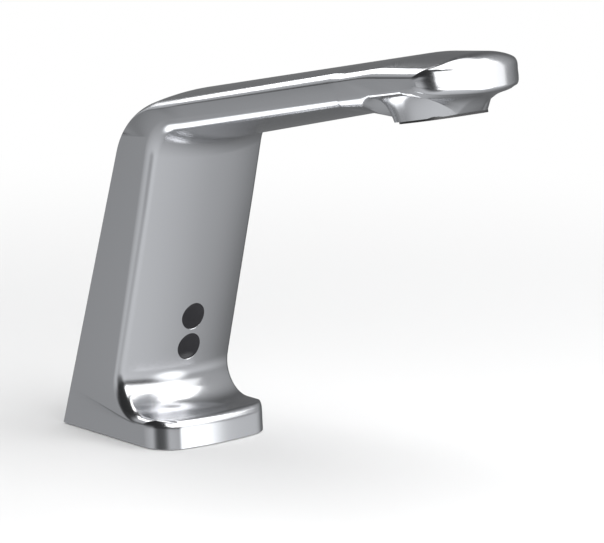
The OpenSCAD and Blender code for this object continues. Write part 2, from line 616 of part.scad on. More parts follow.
module body_casting() color("silver") difference() {
    loft(A_rows, B_rows);
    difference() {
        loft(C_rows, D_rows);
        for (p = boss_spots)
            translate([p[0], p[1], plate_top]) cylinder(r = boss_r, h = boss_h);
    }
    for (p = boss_spots)
        translate([p[0], p[1], 0]) cylinder(r = screw_r + fit_gap, h = plate_top + screw_bite);
    for (up = [-window_gap / 2, window_gap / 2])
        on_front(up, -2 * wall) cylinder(r = window_r, h = 3 * wall);
    on_front(0, -3 * wall) slab(sensor_half_w + loose_gap, sensor_half_h + loose_gap, 3 * wall - pocket_out);
    on_nozzle(-overrun) round_plate(fitting_w + 2 * fit_gap, fitting_l + 2 * fit_gap,
        fitting_corner_r + fit_gap, outlet_plate_t - outlet_proud + overrun);
    on_nozzle() cylinder(r = fitting_r + fit_gap, h = fitting_top + wall);
    for (x = [-outlet_screw_x, outlet_screw_x])
        on_nozzle() translate([x, 0, 0]) cylinder(r = screw_r + fit_gap, h = screw_bite + outlet_plate_t);
}

module window(up) color("#15161a") on_front(up) {
    translate([0, 0, -pocket_out]) cylinder(r = window_r - fit_gap, h = pocket_out - window_set);
    translate([0, 0, -housing_out]) cylinder(r = window_r + window_lip, h = rubber_t);
}
module emitter_window() window(window_gap / 2);
module receiver_window() window(-window_gap / 2);

module outlet_fitting() color("#1c1c1e") difference() {
    union() {
        on_nozzle(-outlet_proud) round_plate(fitting_w, fitting_l, fitting_corner_r, outlet_plate_t);
        on_nozzle() cylinder(r = fitting_r, h = fitting_top);
        on_tube(port_s) cylinder(r = tube_r + port_wall, h = port_l + fitting_r);
    }
    on_nozzle(-overrun) cylinder(r = thread_r, h = aerator_h - outlet_proud + washer_t + overrun);
    on_nozzle() cylinder(r = thread_r - 2 * port_wall, h = fitting_top - outlet_wall);
    on_tube(port_s) translate([0, 0, -overrun]) cylinder(r = tube_r + fit_gap, h = port_l + overrun);
    on_tube(port_s) cylinder(r = tube_inner, h = port_l + fitting_r);
    on_nozzle(outlet_ring_h - outlet_ring_t - fit_gap)
        pipe(fitting_r + overrun, fitting_r - 2 * outlet_ring_t - fit_gap, 2 * (outlet_ring_t + fit_gap));
    for (x = [-outlet_screw_x, outlet_screw_x])
        on_nozzle(-overrun) translate([x, 0, 0]) {
            bore(screw_r + fit_gap, outlet_plate_t + overrun);
            cylinder(r = screw_head_r + fit_gap, h = overrun + flush_head_h - outlet_proud);
        }
}
module outlet_screws() color("#5c5e62") for (x = [-outlet_screw_x, outlet_screw_x])
    on_nozzle(flush_head_h - outlet_proud) translate([x, 0, 0]) screw(screw_bite, flush_head_h);
module outlet_o_ring() color("#222222") on_nozzle(outlet_ring_h)
    seal_ring(fitting_r - outlet_ring_t, outlet_ring_t);
module aerator_washer() color("#2a2a2a") on_nozzle(aerator_h - outlet_proud)
    pipe(thread_r - fit_gap, thread_r - 2 * port_wall, washer_t);
module aerator_shell() color("#3a3b3e") on_nozzle(-outlet_proud) difference() {
    cylinder(r = thread_r - running_gap, h = aerator_h);
    translate([0, 0, sheet_t]) cylinder(r = thread_r - port_wall, h = aerator_h);
    bore(thread_r - 2 * port_wall, aerator_h);
    for (a = [0:90:270])
        rotate([0, 0, a]) translate([thread_r - port_wall / 2, 0, -overrun])
            cylinder(r = port_wall, h = overrun + sheet_t);
}
module aerator_insert() color("#26272a") on_nozzle(sheet_t - outlet_proud) difference() {
    cylinder(r = thread_r - port_wall - fit_gap, h = aerator_h / 2);
    for (k = [1:2], i = [0:8 * k - 1])
        rotate([0, 0, 45 * i / k]) translate([k * thread_r / 4, 0, 0]) bore(port_wall / 2, aerator_h / 2);
    bore(port_wall / 2, aerator_h / 2);
}
module aerator_screen() color("#9a9ca0") on_nozzle(sheet_t - outlet_proud + aerator_h / 2)
    cylinder(r = thread_r - port_wall - fit_gap, h = port_wall / 2);

module outlet_tube() color("#d8dadc") in_side_plane() difference() {
    swept_bar(tube_path, tube_r, 20);
    swept_bar(stretched(tube_path), tube_inner, 20);
}
module tube_o_ring() color("#222222") on_axis(tube_start_h + tube_socket / 2) tube_ring(tube_r);

// Outline of the block round the diaphragm, with an ear for each screw
module valve_outline() {
    circle(r = valve_r);
    square([2 * ear_x, 2 * ear_r], center = true);
    for (x = [-ear_x, ear_x])
        translate([x, 0]) circle(r = ear_r);
}
module behind_carrier() on_back() translate([-body_w, -carrier_face - fit_gap, -body_w])
    cube([2 * body_w, body_w, 2 * body_w + carrier_top]);
module valve_body() color("#2b2d30") difference() {
    union() {
        on_axis(valve_h) linear_extrude(valve_body_h / 2) valve_outline();
        on_axis(valve_h) cylinder(r = valve_r, h = valve_body_h);
        on_axis(valve_h, riser_d, riser_x)
            cylinder(r = riser_r + socket_wall, h = valve_body_h - socket_wall);
        on_axis(valve_h + ear_r, riser_d, riser_x / 2)
            slab(riser_x / 2, web_half, valve_body_h - socket_wall - 2 * ear_r);
    }
    on_axis(valve_h - overrun) difference() {
        cylinder(r = chamber_r, h = recess_h + overrun);
        translate([0, 0, rest_gap + overrun]) cylinder(r = seat_r + seat_wall, h = recess_h);
    }
    on_axis(valve_h) bore(seat_r, valve_body_h);
    on_axis(tube_start_h) cylinder(r = tube_r + fit_gap, h = tube_socket + overrun);
    on_axis(tube_start_h + tube_socket / 2) tube_groove(tube_r);
    on_axis(valve_h - overrun, riser_d, riser_x) cylinder(r = riser_r + fit_gap, h = riser_socket + overrun);
    on_axis(valve_h, riser_d, riser_x)
        cylinder(r = riser_r - riser_wall, h = riser_socket + 2 * passage_r + riser_wall);
    on_axis(valve_h + riser_socket / 2, riser_d, riser_x) tube_groove(riser_r);
    for (x = [-ear_x, ear_x])
        on_axis(valve_h - overrun, 0, x) cylinder(r = screw_r + fit_gap, h = screw_bite + overrun);
    on_axis(valve_h + riser_socket + passage_r, riser_d, port_x - passage_r) rotate([90, 0, 90])
        cylinder(r = passage_r, h = riser_x - port_x + passage_r);
    on_axis(valve_h + recess_h / 2, riser_d, port_x)
        cylinder(r = port_r, h = riser_socket + passage_r - recess_h / 2);
    for (x = [-valve_screw_x, valve_screw_x])
        on_back(valve_screw_h, x) rotate([90, 0, 0])
            cylinder(r = screw_r + fit_gap, h = carrier_face + screw_bite - overrun + fit_gap);
    behind_carrier();
}
module valve_diaphragm() color("#30302e") on_axis(bonnet_top) pipe(diaphragm_r, core_hole_r, rubber_t);
core_hole_r = 1.6;
module diaphragm_core() color("#e3e3dc") on_axis(bonnet_top) {
    translate([0, 0, -core_t]) cylinder(r = core_r, h = core_t);
    cylinder(r = core_hole_r - running_gap, h = rubber_t + core_t);
}
module valve_bonnet() color("#2b2d30") difference() {
    on_axis(bonnet_z) linear_extrude(bonnet_t) valve_outline();
    on_axis(bonnet_top - core_t - plunger_travel) cylinder(r = core_r + loose_gap, h = bonnet_t);
    on_axis(bonnet_z) bore(armature_inner, bonnet_t);
    for (x = [-ear_x, ear_x]) {
        on_axis(bonnet_z, 0, x) bore(screw_r + fit_gap, bonnet_t);
        on_axis(bonnet_z - overrun, 0, x) cylinder(r = screw_head_r + fit_gap, h = screw_head_h + overrun);
    }
    behind_carrier();
}
module bonnet_screws() color("#8c8e92") for (x = [-ear_x, ear_x])
    on_axis(bonnet_z + screw_head_h, 0, x) screw(bonnet_t - screw_head_h + rubber_t + screw_bite - overrun);
module armature_tube() color("#c9cbce") difference() {
    on_axis(can_z) cylinder(r = armature_outer, h = can_l);
    on_axis(pole_z) cylinder(r = armature_inner, h = can_l);
}
module plunger() color("#a9abae") on_axis(plunger_top - plunger_l) difference() {
    cylinder(r = plunger_r, h = plunger_l);
    translate([0, 0, plunger_l - core_t]) cylinder(r = core_hole_r + fit_gap, h = core_t + overrun);
    translate([0, 0, -overrun]) cylinder(r = plunger_r - 2 * tube_t, h = plunger_l / 2 + overrun);
}
module plunger_pad() color("#2a2a2a") on_axis(plunger_top - core_t) cylinder(r = core_hole_r, h = core_t);
module plunger_spring() color("#b9bbbd") on_axis(pole_z + fit_gap)
    coil_spring(plunger_r - 2 * tube_t - 2 * spring_wire, spring_wire, plunger_spring_l, 6);
module coil_bobbin() color("#efe9d8") on_axis(can_z + can_wall + fit_gap) {
    pipe(armature_outer + fit_gap + bobbin_wall, armature_outer + fit_gap,
        can_l - 2 * can_wall - 2 * fit_gap);
    for (h = [0, can_l - 2 * can_wall - 2 * fit_gap - bobbin_wall])
        translate([0, 0, h]) pipe(can_r - can_wall - fit_gap, armature_outer + fit_gap, bobbin_wall);
}
module coil_winding() color("#a85a2a") on_axis(can_z + can_wall + bobbin_wall + 2 * fit_gap)
    pipe(can_r - can_wall - 2 * fit_gap, armature_outer + bobbin_wall + 2 * fit_gap,
        can_l - 2 * can_wall - 2 * bobbin_wall - 4 * fit_gap);
module coil_can() color("#7e8084") difference() {
    on_axis(can_z) cylinder(r = can_r, h = can_l);
    on_axis(can_z + can_wall) cylinder(r = can_r - can_wall, h = can_l - 2 * can_wall);
    on_axis(can_z) bore(armature_outer + fit_gap, can_l);
    on_axis(can_z, lead_d, lead_x) bore(lead_r + fit_gap, can_wall);
}
module coil_clip() color("#c9cbce") on_axis(can_z - can_wall)
    cylinder(r = armature_outer + can_wall, h = can_wall);

module riser_tube() color("#d8dadc") on_axis(riser_z, riser_d, riser_x)
    pipe(riser_r, riser_r - riser_wall, riser_end - riser_z);
module riser_o_rings() color("#222222") for (h = [riser_z, valve_h])
    on_axis(h + riser_socket / 2, riser_d, riser_x) tube_ring(riser_r);
module on_check(h) on_axis(h, riser_d, riser_x) children();
module on_inlet(z) translate([inlet_x, -inlet_s, z]) children();
module inlet_manifold() color("#b8975a") difference() {
    union() {
        on_inlet(manifold_z) cylinder(r = inlet_r + inlet_wall, h = manifold_l);
        on_check(check_z) cylinder(r = check_outer, h = riser_z + riser_socket - check_z);
        on_inlet(passage_z - block_r) rotate([0, 0, atan2(block_way[1], block_way[0])])
            translate([0, -block_r, 0]) cube([norm(block_way), 2 * block_r, 2 * block_r]);
        on_inlet(passage_z - block_r)
            translate([-pad_half_w, 0, 0]) cube([2 * pad_half_w, base_back, 2 * block_r]);
    }
    on_inlet(manifold_z - overrun) cylinder(r = inlet_r, h = inlet_l + overrun);
    on_inlet(manifold_z + inlet_l - overrun) cylinder(r = strainer_r, h = inlet_depth - inlet_l + overrun);
    on_check(check_z - overrun) cylinder(r = check_r, h = seat_plate_z - check_z + overrun);
    on_check(seat_plate_z) bore(check_hole_r, ledge_z - seat_plate_z);
    on_check(seat_plate_z + seat_plate_t) cylinder(r = check_r, h = ledge_z - seat_plate_z - seat_plate_t);
    on_check(riser_z) cylinder(r = riser_r + fit_gap, h = riser_socket + overrun);
    on_check(riser_z + riser_socket / 2) tube_groove(riser_r);
    on_inlet(passage_z) rotate([0, 0, atan2(block_way[1], block_way[0])]) rotate([90, 0, 90])
        cylinder(r = passage_r, h = norm(block_way));
    behind_carrier();
    on_back(pad_screw_h, inlet_x) rotate([90, 0, 0]) bore(screw_r + fit_gap, carrier_face + screw_bite);
}
pad_half_w = 3.2;
pad_screw_h = back_h([back_s(passage_z, carrier_face), passage_z]);
function back_h(p) = (p[0] + base_back) * sin(back_lean) + p[1] * cos(back_lean);
module manifold_plug() color("#b8975a") on_check(check_z) difference() {
    union() {
        cylinder(r = check_r - fit_gap, h = plug_l);
        translate([0, 0, -sheet_t]) cylinder(r = check_outer, h = sheet_t);
    }
    translate([0, 0, plug_l / 2 - o_ring_t / 2 - fit_gap])
        pipe(check_r + overrun, check_r - o_ring_t - 2 * fit_gap, o_ring_t + 2 * fit_gap);
    translate([0, 0, -2 * sheet_t]) cylinder(r = check_hole_r, h = 2 * sheet_t + socket_floor, $fn = 6);
}
module plug_o_ring() color("#222222") on_check(check_z + plug_l / 2)
    seal_ring(check_r - fit_gap - o_ring_t / 2);
module check_poppet() color("#e3e3dc") on_check(poppet_z) {
    cylinder(r = poppet_r, h = poppet_t);
    cylinder(r = stem_r, h = poppet_t + check_spring_l / 2);
}
module poppet_seal() color("#2a2a2a") on_check(poppet_z - rubber_t) cylinder(r = poppet_r, h = rubber_t);
module check_spring() color("#b9bbbd") on_check(poppet_z + poppet_t + fit_gap)
    coil_spring(poppet_r - spring_wire, spring_wire, check_spring_l - 2 * fit_gap, 4);
module inlet_strainer() color("#9a9ca0") on_inlet(manifold_z + inlet_l) difference() {
    cylinder(r = strainer_r - fit_gap, h = strainer_t);
    for (a = [0:60:300])
        rotate([0, 0, a]) translate([inlet_r / 2, 0, 0]) bore(stem_r, strainer_t);
}

module sensor_housing() color("#232427") on_front(0, -cover_out) difference() {
    slab(sensor_half_w, sensor_half_h, sensor_d);
    translate([0, 0, -overrun]) slab(sensor_half_w - housing_wall, sensor_half_h - housing_wall,
        sensor_d - housing_wall + overrun);
    for (up = [-window_gap / 2, window_gap / 2])
        translate([0, up, 0]) bore(led_r + fit_gap, sensor_d);
}
module sensor_board() color("#2f6b45") on_front(0, board_set - cover_out) {
    slab(sensor_half_w - housing_wall - rest_gap, sensor_half_h - housing_wall - rest_gap, board_t);
    slab(chip_half, chip_half, board_t + chip_t);
    for (up = [-sensor_half_h + led_r, sensor_half_h - led_r])
        translate([0, up, 0]) slab(2 * chip_half, chip_half / 2, board_t + chip_t);
}
chip_half = 2.2;
chip_t = 1;
module led(up) on_front(up, board_set + board_t - cover_out) {
    cylinder(r = led_r, h = led_l - led_r);
    translate([0, 0, led_l - led_r]) sphere(r = led_r);
}
module ir_emitter() color("#d9dde6") led(window_gap / 2);
module ir_receiver() color("#3a2f3c") led(-window_gap / 2);
module sensor_gasket() color("#2a2a2a") on_front(0, -housing_out) difference() {
    slab(sensor_half_w, sensor_half_h, rubber_t);
    for (up = [-window_gap / 2, window_gap / 2])
        translate([0, up, 0]) bore(window_r + window_lip + fit_gap, rubber_t);
}
module sensor_cover() color("#232427") difference() {
    on_front(0, -cover_end) slab(sensor_half_w, sensor_half_h, sheet_t);
    on_front(lead_up, -cover_end, lead_x) bore(lead_r + fit_gap, sheet_t);
}
module valve_lead() color("#1b1b1d") in_side_plane(lead_x) swept_bar(lead_path, lead_r, 12);

valve_screw_h = back_h(axis_point(valve_h + valve_body_h / 2));
valve_screw_x = 2.4;
carrier_spots = [[inlet_x, pad_screw_h], [-valve_screw_x, valve_screw_h], [valve_screw_x, valve_screw_h]];
foot_y = -back_s(plate_top + sheet_t, wall + carrier_gap);
foot_l = 7;
foot_half_w = foot_spot[0] + boss_r - loose_gap;
module carrier() color("#8f9296") difference() {
    union() {
        on_back(carrier_foot, -carrier_half_w) translate([0, -carrier_face, 0])
            cube([2 * carrier_half_w, sheet_t, carrier_top - carrier_foot]);
        difference() {
            translate([-foot_half_w, foot_y - foot_l, plate_top]) cube([2 * foot_half_w, foot_l, sheet_t]);
            cylinder(r = shank_r + flange_w + loose_gap, h = top_h);
        }
        difference() {
            for (x = [-post_x, post_x], up = post_ups)
                on_front(up, -cover_end - column_d, x) slab(post_half_w, post_h / 2, column_d);
            on_back() translate([-body_w, sheet_t / 2 - carrier_face, 0]) cube([2 * body_w, body_w, top_h]);
        }
    }
    for (p = carrier_spots)
        on_back(p[1], p[0]) translate([0, -carrier_face, 0]) rotate([90, 0, 0]) {
            translate([0, 0, -2 * sheet_t]) cylinder(r = screw_head_r + fit_gap, h = 2 * sheet_t + overrun);
        }
    for (p = foot_spots)
        translate([p[0], p[1], plate_top]) bore(screw_r + fit_gap, sheet_t);
}
module carrier_screws() color("#8c8e92") for (p = carrier_spots)
    on_back(p[1], p[0]) translate([0, -carrier_face, 0]) rotate([90, 0, 0]) screw(screw_bite - overrun);
module foot_screws() color("#8c8e92") for (p = foot_spots)
    translate([p[0], p[1], plate_top + sheet_t]) mirror([0, 0, 1]) screw(sheet_t + plate_t / 2);

module base_plate() color("#9b9da0") difference() {
    translate([0, 0, plate_z]) linear_extrude(plate_t) polygon(foot_outline(wall + plate_gap, plate_top));
    cylinder(r = shank_r + fit_gap, h = top_h);
    for (p = boss_spots)
        translate([p[0], p[1], 0]) {
            cylinder(r = screw_r + fit_gap, h = top_h);
            cylinder(r = screw_head_r + fit_gap, h = plate_z + screw_head_h);
        }
    for (p = foot_spots)
        translate([p[0], p[1], plate_top - plate_t / 2]) cylinder(r = screw_r + fit_gap, h = plate_t);
}
module base_screws() color("#8c8e92") for (p = boss_spots)
    translate([p[0], p[1], plate_z + screw_head_h]) screw(base_screw_l);
module mounting_shank() color("#b8975a") difference() {
    union() {
        translate([0, 0, -shank_l]) cylinder(r = shank_r, h = shank_l + plate_top + flange_t);
        translate([0, 0, plate_top]) cylinder(r = shank_r + flange_w, h = flange_t);
    }
    translate([0, 0, -shank_l]) bore(shank_r - shank_wall, shank_l + plate_top + flange_t);
    translate([0, 0, clamp_z - nut_h - 2 * rest_gap - groove_w])
        pipe(shank_r + overrun, shank_r - groove_w / 2, groove_w);
}
// The groove marks the shank's free end, which can be cut off under a thin deck
groove_w = 1;
module deck_gasket() color("#232323") difference() {
    linear_extrude(plate_z) polygon(foot_outline(wall + plate_gap, plate_z));
    translate([0, 0, -overrun]) cylinder(r = shank_r + fit_gap, h = top_h);
}
bung_h = 4;
lead_hole = [-6, 0];
hose_gap = 1.4;
module lead_grommet() color("#2a2a2a") translate([0, 0, plate_top + flange_t - bung_h]) difference() {
    cylinder(r = shank_r - shank_wall - fit_gap, h = bung_h);
    translate([inlet_x, -inlet_s, 0]) bore(inlet_r + hose_gap, bung_h);
    translate(lead_hole) bore(lead_r + hose_gap / 2, bung_h);
}
deck_washer_t = 3;
clamp_t = 1.6;
nut_h = 9;
clamp_z = -deck_t - deck_washer_t - clamp_t - rest_gap;
module deck_washer() color("#232323") translate([0, 0, -deck_t - deck_washer_t])
    pipe(washer_r, shank_r + loose_gap, deck_washer_t);
module clamp_washer() color("#a9abae") translate([0, 0, clamp_z])
    pipe(washer_r, shank_r + loose_gap, clamp_t);
module mounting_nut() color("#b8975a") translate([0, 0, clamp_z - nut_h - rest_gap]) difference() {
    cylinder(r = nut_af / 2 / cos(30), h = nut_h, $fn = 6);
    bore(shank_r + running_gap, nut_h);
}

body_casting();
emitter_window();
receiver_window();
outlet_fitting();
outlet_screws();
outlet_o_ring();
aerator_washer();
aerator_shell();
aerator_insert();
aerator_screen();
outlet_tube();
tube_o_ring();
valve_body();
valve_diaphragm();
diaphragm_core();
valve_bonnet();
bonnet_screws();
armature_tube();
plunger();
plunger_pad();
plunger_spring();
coil_bobbin();
coil_winding();
coil_can();
coil_clip();
riser_tube();
riser_o_rings();
inlet_manifold();
manifold_plug();
plug_o_ring();
check_poppet();
poppet_seal();
check_spring();
inlet_strainer();
sensor_housing();
sensor_board();
ir_emitter();
ir_receiver();
sensor_gasket();
sensor_cover();
valve_lead();
carrier();
carrier_screws();
foot_screws();
base_plate();
base_screws();
mounting_shank();
deck_gasket();
lead_grommet();
deck_washer();
clamp_washer();
mounting_nut();
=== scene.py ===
"""Sensor tap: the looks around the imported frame, in metres."""

import json
import math

import bmesh
import bpy
from mathutils import Matrix, Vector
from mathutils.bvhtree import BVHTree
from mathutils.interpolate import poly_3d_calc


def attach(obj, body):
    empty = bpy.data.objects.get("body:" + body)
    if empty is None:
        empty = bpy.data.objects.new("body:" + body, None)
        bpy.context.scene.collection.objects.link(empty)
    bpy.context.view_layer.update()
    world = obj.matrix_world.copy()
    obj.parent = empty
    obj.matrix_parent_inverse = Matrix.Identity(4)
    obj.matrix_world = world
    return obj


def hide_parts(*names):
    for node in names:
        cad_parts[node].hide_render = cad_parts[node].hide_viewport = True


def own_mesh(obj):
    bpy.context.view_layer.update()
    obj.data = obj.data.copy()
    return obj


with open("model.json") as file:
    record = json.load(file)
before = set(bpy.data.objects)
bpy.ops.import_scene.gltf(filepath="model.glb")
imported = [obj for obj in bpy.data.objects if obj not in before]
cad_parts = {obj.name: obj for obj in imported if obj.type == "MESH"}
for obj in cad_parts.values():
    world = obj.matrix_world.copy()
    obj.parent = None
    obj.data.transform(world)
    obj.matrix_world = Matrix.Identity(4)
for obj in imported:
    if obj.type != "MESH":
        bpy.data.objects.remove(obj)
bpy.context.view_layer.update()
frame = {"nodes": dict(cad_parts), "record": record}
nodes = frame["nodes"]
scene = bpy.context.scene

# Units and small sizes that several pieces share
MM = 0.001
overrun = 1.0
fit_gap = 0.05
weld_gap = 0.0001
wall = 2.8

# Body, in millimetres: s runs forward from the shank's axis, z up from the deck
body_w = 48.0
base_back = 27.8
base_front = 27.8
column_d = 31.5
back_lean = 17.5
front_lean = 12.7
top_h = 113.95
shoulder_r = 26.0
bend_side_r = 14.5
bend_r = 8.8
edge_r = 2.6
front_crown = 5.8
top_crown = 2.5
toe_h = 10.0
toe_blend_r = 11.0
toe_edge_r = 3.2
toe_corner_r = 8.5
toe_crown = 3.0
toe_flare = 0.6
reach = 155.2
tip_w = 39.2
spout_t = 18.8
top_rise = 12.8
under_rise = 14.1
side_rise = 12.1
side_face = 3.3
end_h = 11.6
tip_r = 6.0
tip_crown = 7.0
tip_corner_r = 5.6
nozzle_s = 135.5
nozzle_w = 30.0
nozzle_l = 24.5
nozzle_h = 4.6
nozzle_tilt = 12.1
nozzle_corner_r = 10.0
ramp_l = 13.0
deck_z = 0.4
window_r = 4.65
window_gap = 10.95
window_h = 35.15


# Path helpers, with points as (s, z)
def tan_deg(a):
    return math.tan(math.radians(a))


def lerp(a, b, t):
    return a + (b - a) * t


def clamp01(t):
    return min(1.0, max(0.0, t))


def corner_frame(a, b, c, r):
    """Centre, start angle and turn of the arc that rounds the corner b."""
    to_a = (a - b).normalized()
    to_c = (c - b).normalized()
    half = math.acos(max(-1.0, min(1.0, to_a.dot(to_c)))) / 2
    centre = b + (to_a + to_c).normalized() * r / math.sin(half)
    start = b + to_a * r / math.tan(half) - centre
    side = (b.x - a.x) * (c.y - b.y) - (b.y - a.y) * (c.x - b.x)
    turn = math.copysign(math.pi - 2 * half, side)
    return centre, math.atan2(start.y, start.x), turn


def arc_points(a, b, c, r, n):
    if r == 0:
        return [b]
    centre, start, turn = corner_frame(a, b, c, r)
    angles = [start + turn * i / n for i in range(n + 1)]
    return [centre + r * Vector((math.cos(q), math.sin(q))) for q in angles]


def path_points(corners, radii, arcs, runs):
    last = len(corners) - 1
    rounded = [
        [corners[i]] if i in (0, last) else arc_points(*corners[i - 1:i + 2], radii[i], arcs[i])
        for i in range(last + 1)
    ]
    points = []
    for i, arc in enumerate(rounded):
        points += arc
        if i < last:
            points += [lerp(arc[-1], rounded[i + 1][0], j / (runs[i] + 1)) for j in range(1, runs[i] + 1)]
    return points


def path_values(values, radii, arcs, runs):
    last = len(values) - 1
    out = []
    for i, value in enumerate(values):
        out += [value] * (1 if i in (0, last) or radii[i] == 0 else arcs[i] + 1)
        if i < last:
            out += [lerp(value, values[i + 1], j / (runs[i] + 1)) for j in range(1, runs[i] + 1)]
    return out


def denser(arcs, runs, k):
    """The same path with k times as many steps in each arc and on each run."""
    return [a * k for a in arcs], [(r + 1) * k - 1 for r in runs]


# Profile lines of the outer skin; o is how far a line lies inside it
back_k = tan_deg(back_lean)
front_k = tan_deg(front_lean)
top_k = tan_deg(top_rise)
under_k = tan_deg(under_rise)
side_k = tan_deg(side_rise)
nozzle_k = tan_deg(nozzle_tilt)


def back_s(z, o=0.0):
    return -base_back + back_k * z + o / math.cos(math.radians(back_lean))


def front_s(z, o=0.0):
    return -base_back + column_d + front_k * z - o / math.cos(math.radians(front_lean))


def top_z(s, o=0.0):
    return top_h + top_k * s - o / math.cos(math.radians(top_rise))


def under_z(s, o=0.0):
    return top_h - spout_t + under_k * s + o / math.cos(math.radians(under_rise))


def low_z(s):
    return top_h - top_crown - edge_r - side_face + side_k * s


def meet(a, k, b, m):
    s = (a + k * b) / (1 - k * m)
    return Vector((s, b + m * s))


# Rows across the skin: crown, cove and round edge
taper_share = 0.216
cove_power = 1.7
rim_share = 0.745
least_rim_share = 0.2


def half_w(s):
    t = (s / reach - taper_share) / (1 - taper_share)
    return body_w / 2 - max(0.0, t) * (body_w - tip_w) / 2


def cove_share(x, half, flat):
    return 1 - (1 - clamp01((x - flat) / (half - flat))) ** cove_power


def edge_share(x, half, r, span, flat=0.0, cove=0.0):
    """How much of its span a row has covered at x: a crown or a cove, then a round edge of radius r."""
    f = min(1.0, r / max(abs(span), r))
    d = clamp01((x - half + r) / r)
    form = lerp((x / half) ** 2, cove_share(x, half - r, flat), cove)
    return (1 - f) * form + f * (1 - math.sqrt(1 - d * d))


def along_rim(u, half, flat, cove):
    """Moves the row's shares so that one of them lies on the rim of the nozzle's flat."""
    rim = lerp(rim_share, max(flat / half, least_rim_share), cove)
    if abs(u) < rim_share:
        return u * rim / rim_share
    return math.copysign(1 - (1 - abs(u)) * (1 - rim) / (1 - rim_share), u)


def row(centre, side, r, shares, inner=0.0, slope=0.0, flat=0.0, cove=0.0):
    """One row of points across a skin, from its centre point to its side point."""
    half = half_w(side.x) - inner
    rise = side.y - centre.y - slope * (side.x - centre.x)
    rim_r = lerp(min(r, edge_r), lip_r, cove)
    out = []
    for share in shares:
        u = along_rim(share, half, flat, cove)
        x = abs(u) * half
        s = lerp(centre.x, side.x, edge_share(x, half, r, side.x - centre.x))
        risen = rise * edge_share(x, half, rim_r, rise, flat, cove)
        out.append((u * half * MM, -s * MM, (centre.y + slope * (s - centre.x) + risen) * MM))
    return out


def width_shares(steps):
    """Shares of the half width, closer together near the edges, one of them at the rim's own share."""
    plain = [math.sin(math.pi / 2 * j / steps) for j in range(steps + 1)]
    nearest = min(plain, key=lambda u: abs(u - rim_share))
    half = [rim_share if u == nearest else u for u in plain]
    return [-u for u in half[:0:-1]] + half


def loft_mesh(name, rows_a, rows_b):
    """A closed skin from two runs of rows that face each other."""
    rings = [a + b[::-1] for a, b in zip(rows_a, rows_b)]
    w = len(rings[0])
    bm = bmesh.new()
    verts = [[bm.verts.new(p) for p in ring] for ring in rings]
    for low, high in zip(verts, verts[1:]):
        for j in range(w):
            k = (j + 1) % w
            bm.faces.new((low[j], low[k], high[k], high[j]))
    n = len(rows_a[0])
    for ring, turned in ((verts[0], True), (verts[-1], False)):
        for j in range(n - 1):
            face = (ring[j], ring[j + 1], ring[w - 2 - j], ring[w - 1 - j])
            bm.faces.new(face[::-1] if turned else face)
    bmesh.ops.remove_doubles(bm, verts=bm.verts, dist=weld_gap * MM)
    bmesh.ops.recalc_face_normals(bm, faces=bm.faces)
    return object_from(name, bm)


def object_from(name, bm):
    mesh = bpy.data.meshes.new(name)
    bm.to_mesh(mesh)
    bm.free()
    piece = bpy.data.objects.new(name, mesh)
    scene.collection.objects.link(piece)
    for polygon in mesh.polygons:
        polygon.use_smooth = True
    return piece


# Outer skin: upper rows up the back and along the top, lower ones up the front and along the underside
inner_r = 0.8
ramp_r = 8.0
ridge_r = 3.0
lip_r = 1.6
cove_r = 14.0
nose_r = 60.0
nose_l = 22.0
nose_ease_k = 0.105
end_tilt = 1.2
tip_cut_share = 0.65
side_tip_r_share = 0.15
cove_s_share = 0.36
cove_z_share = 0.6
front_inset = front_crown + edge_r
top_inset = top_crown + edge_r
toe_inset = toe_crown + toe_corner_r
tip_inset = tip_crown + tip_corner_r
end_k = tan_deg(top_rise + end_tilt)
foot_s = base_front - toe_flare
blend_top_z = toe_h + toe_blend_r
nozzle_z = under_z(nozzle_s) - nozzle_h
nozzle_half_l = nozzle_l / 2 * math.cos(math.radians(nozzle_tilt))
ramp_s = nozzle_s - nozzle_half_l - ramp_l
flat_s = ramp_s - spout_t * math.sin(math.radians(top_rise))
# Steps in each corner's arc and on the run after it, as in the solid
upper_arcs = [0, 0, 8, 0, 4, 7, 0]
upper_runs = [20, 8, 14, 13, 4, 0, 0]
lower_arcs = [0, 5, 8, 8, 3, 3, 3, 4, 4, 0]
lower_runs = [1, 5, 8, 14, 3, 6, 0, 0, 0, 0]


def point(s, z):
    return Vector((s, z))


def nose(end_s, drop):
    """The spout's top from its start of curvature to its end, as two corners."""
    n = end_s - nose_l
    z = top_z(n) - drop
    return [point(n, z), point(end_s, z + (top_k - nose_ease_k) * nose_l)]


def nozzle_bottom(s):
    return point(s, nozzle_z + nozzle_k * (s - nozzle_s))


nozzle_back = nozzle_bottom(nozzle_s - nozzle_half_l)
nozzle_front = nozzle_bottom(nozzle_s + nozzle_half_l)
tip_top = nose(reach, 0)[1]
tip_low = tip_top + point(end_k * end_h, -end_h)
side_end_s = reach - tip_inset
side_tip = nose(side_end_s, top_inset)[1]
side_low_s = side_end_s + end_k * (side_tip.y - low_z(side_end_s))
side_low = point(side_low_s, low_z(side_low_s))
cove_point = point(lerp(nozzle_front.x, tip_low.x, cove_s_share),
                   lerp(nozzle_front.y, tip_low.y, cove_z_share))


def top_corners(drop):
    return [meet(back_s(0), back_k, top_z(0) - drop, top_k), point(flat_s, top_z(flat_s) - drop)]


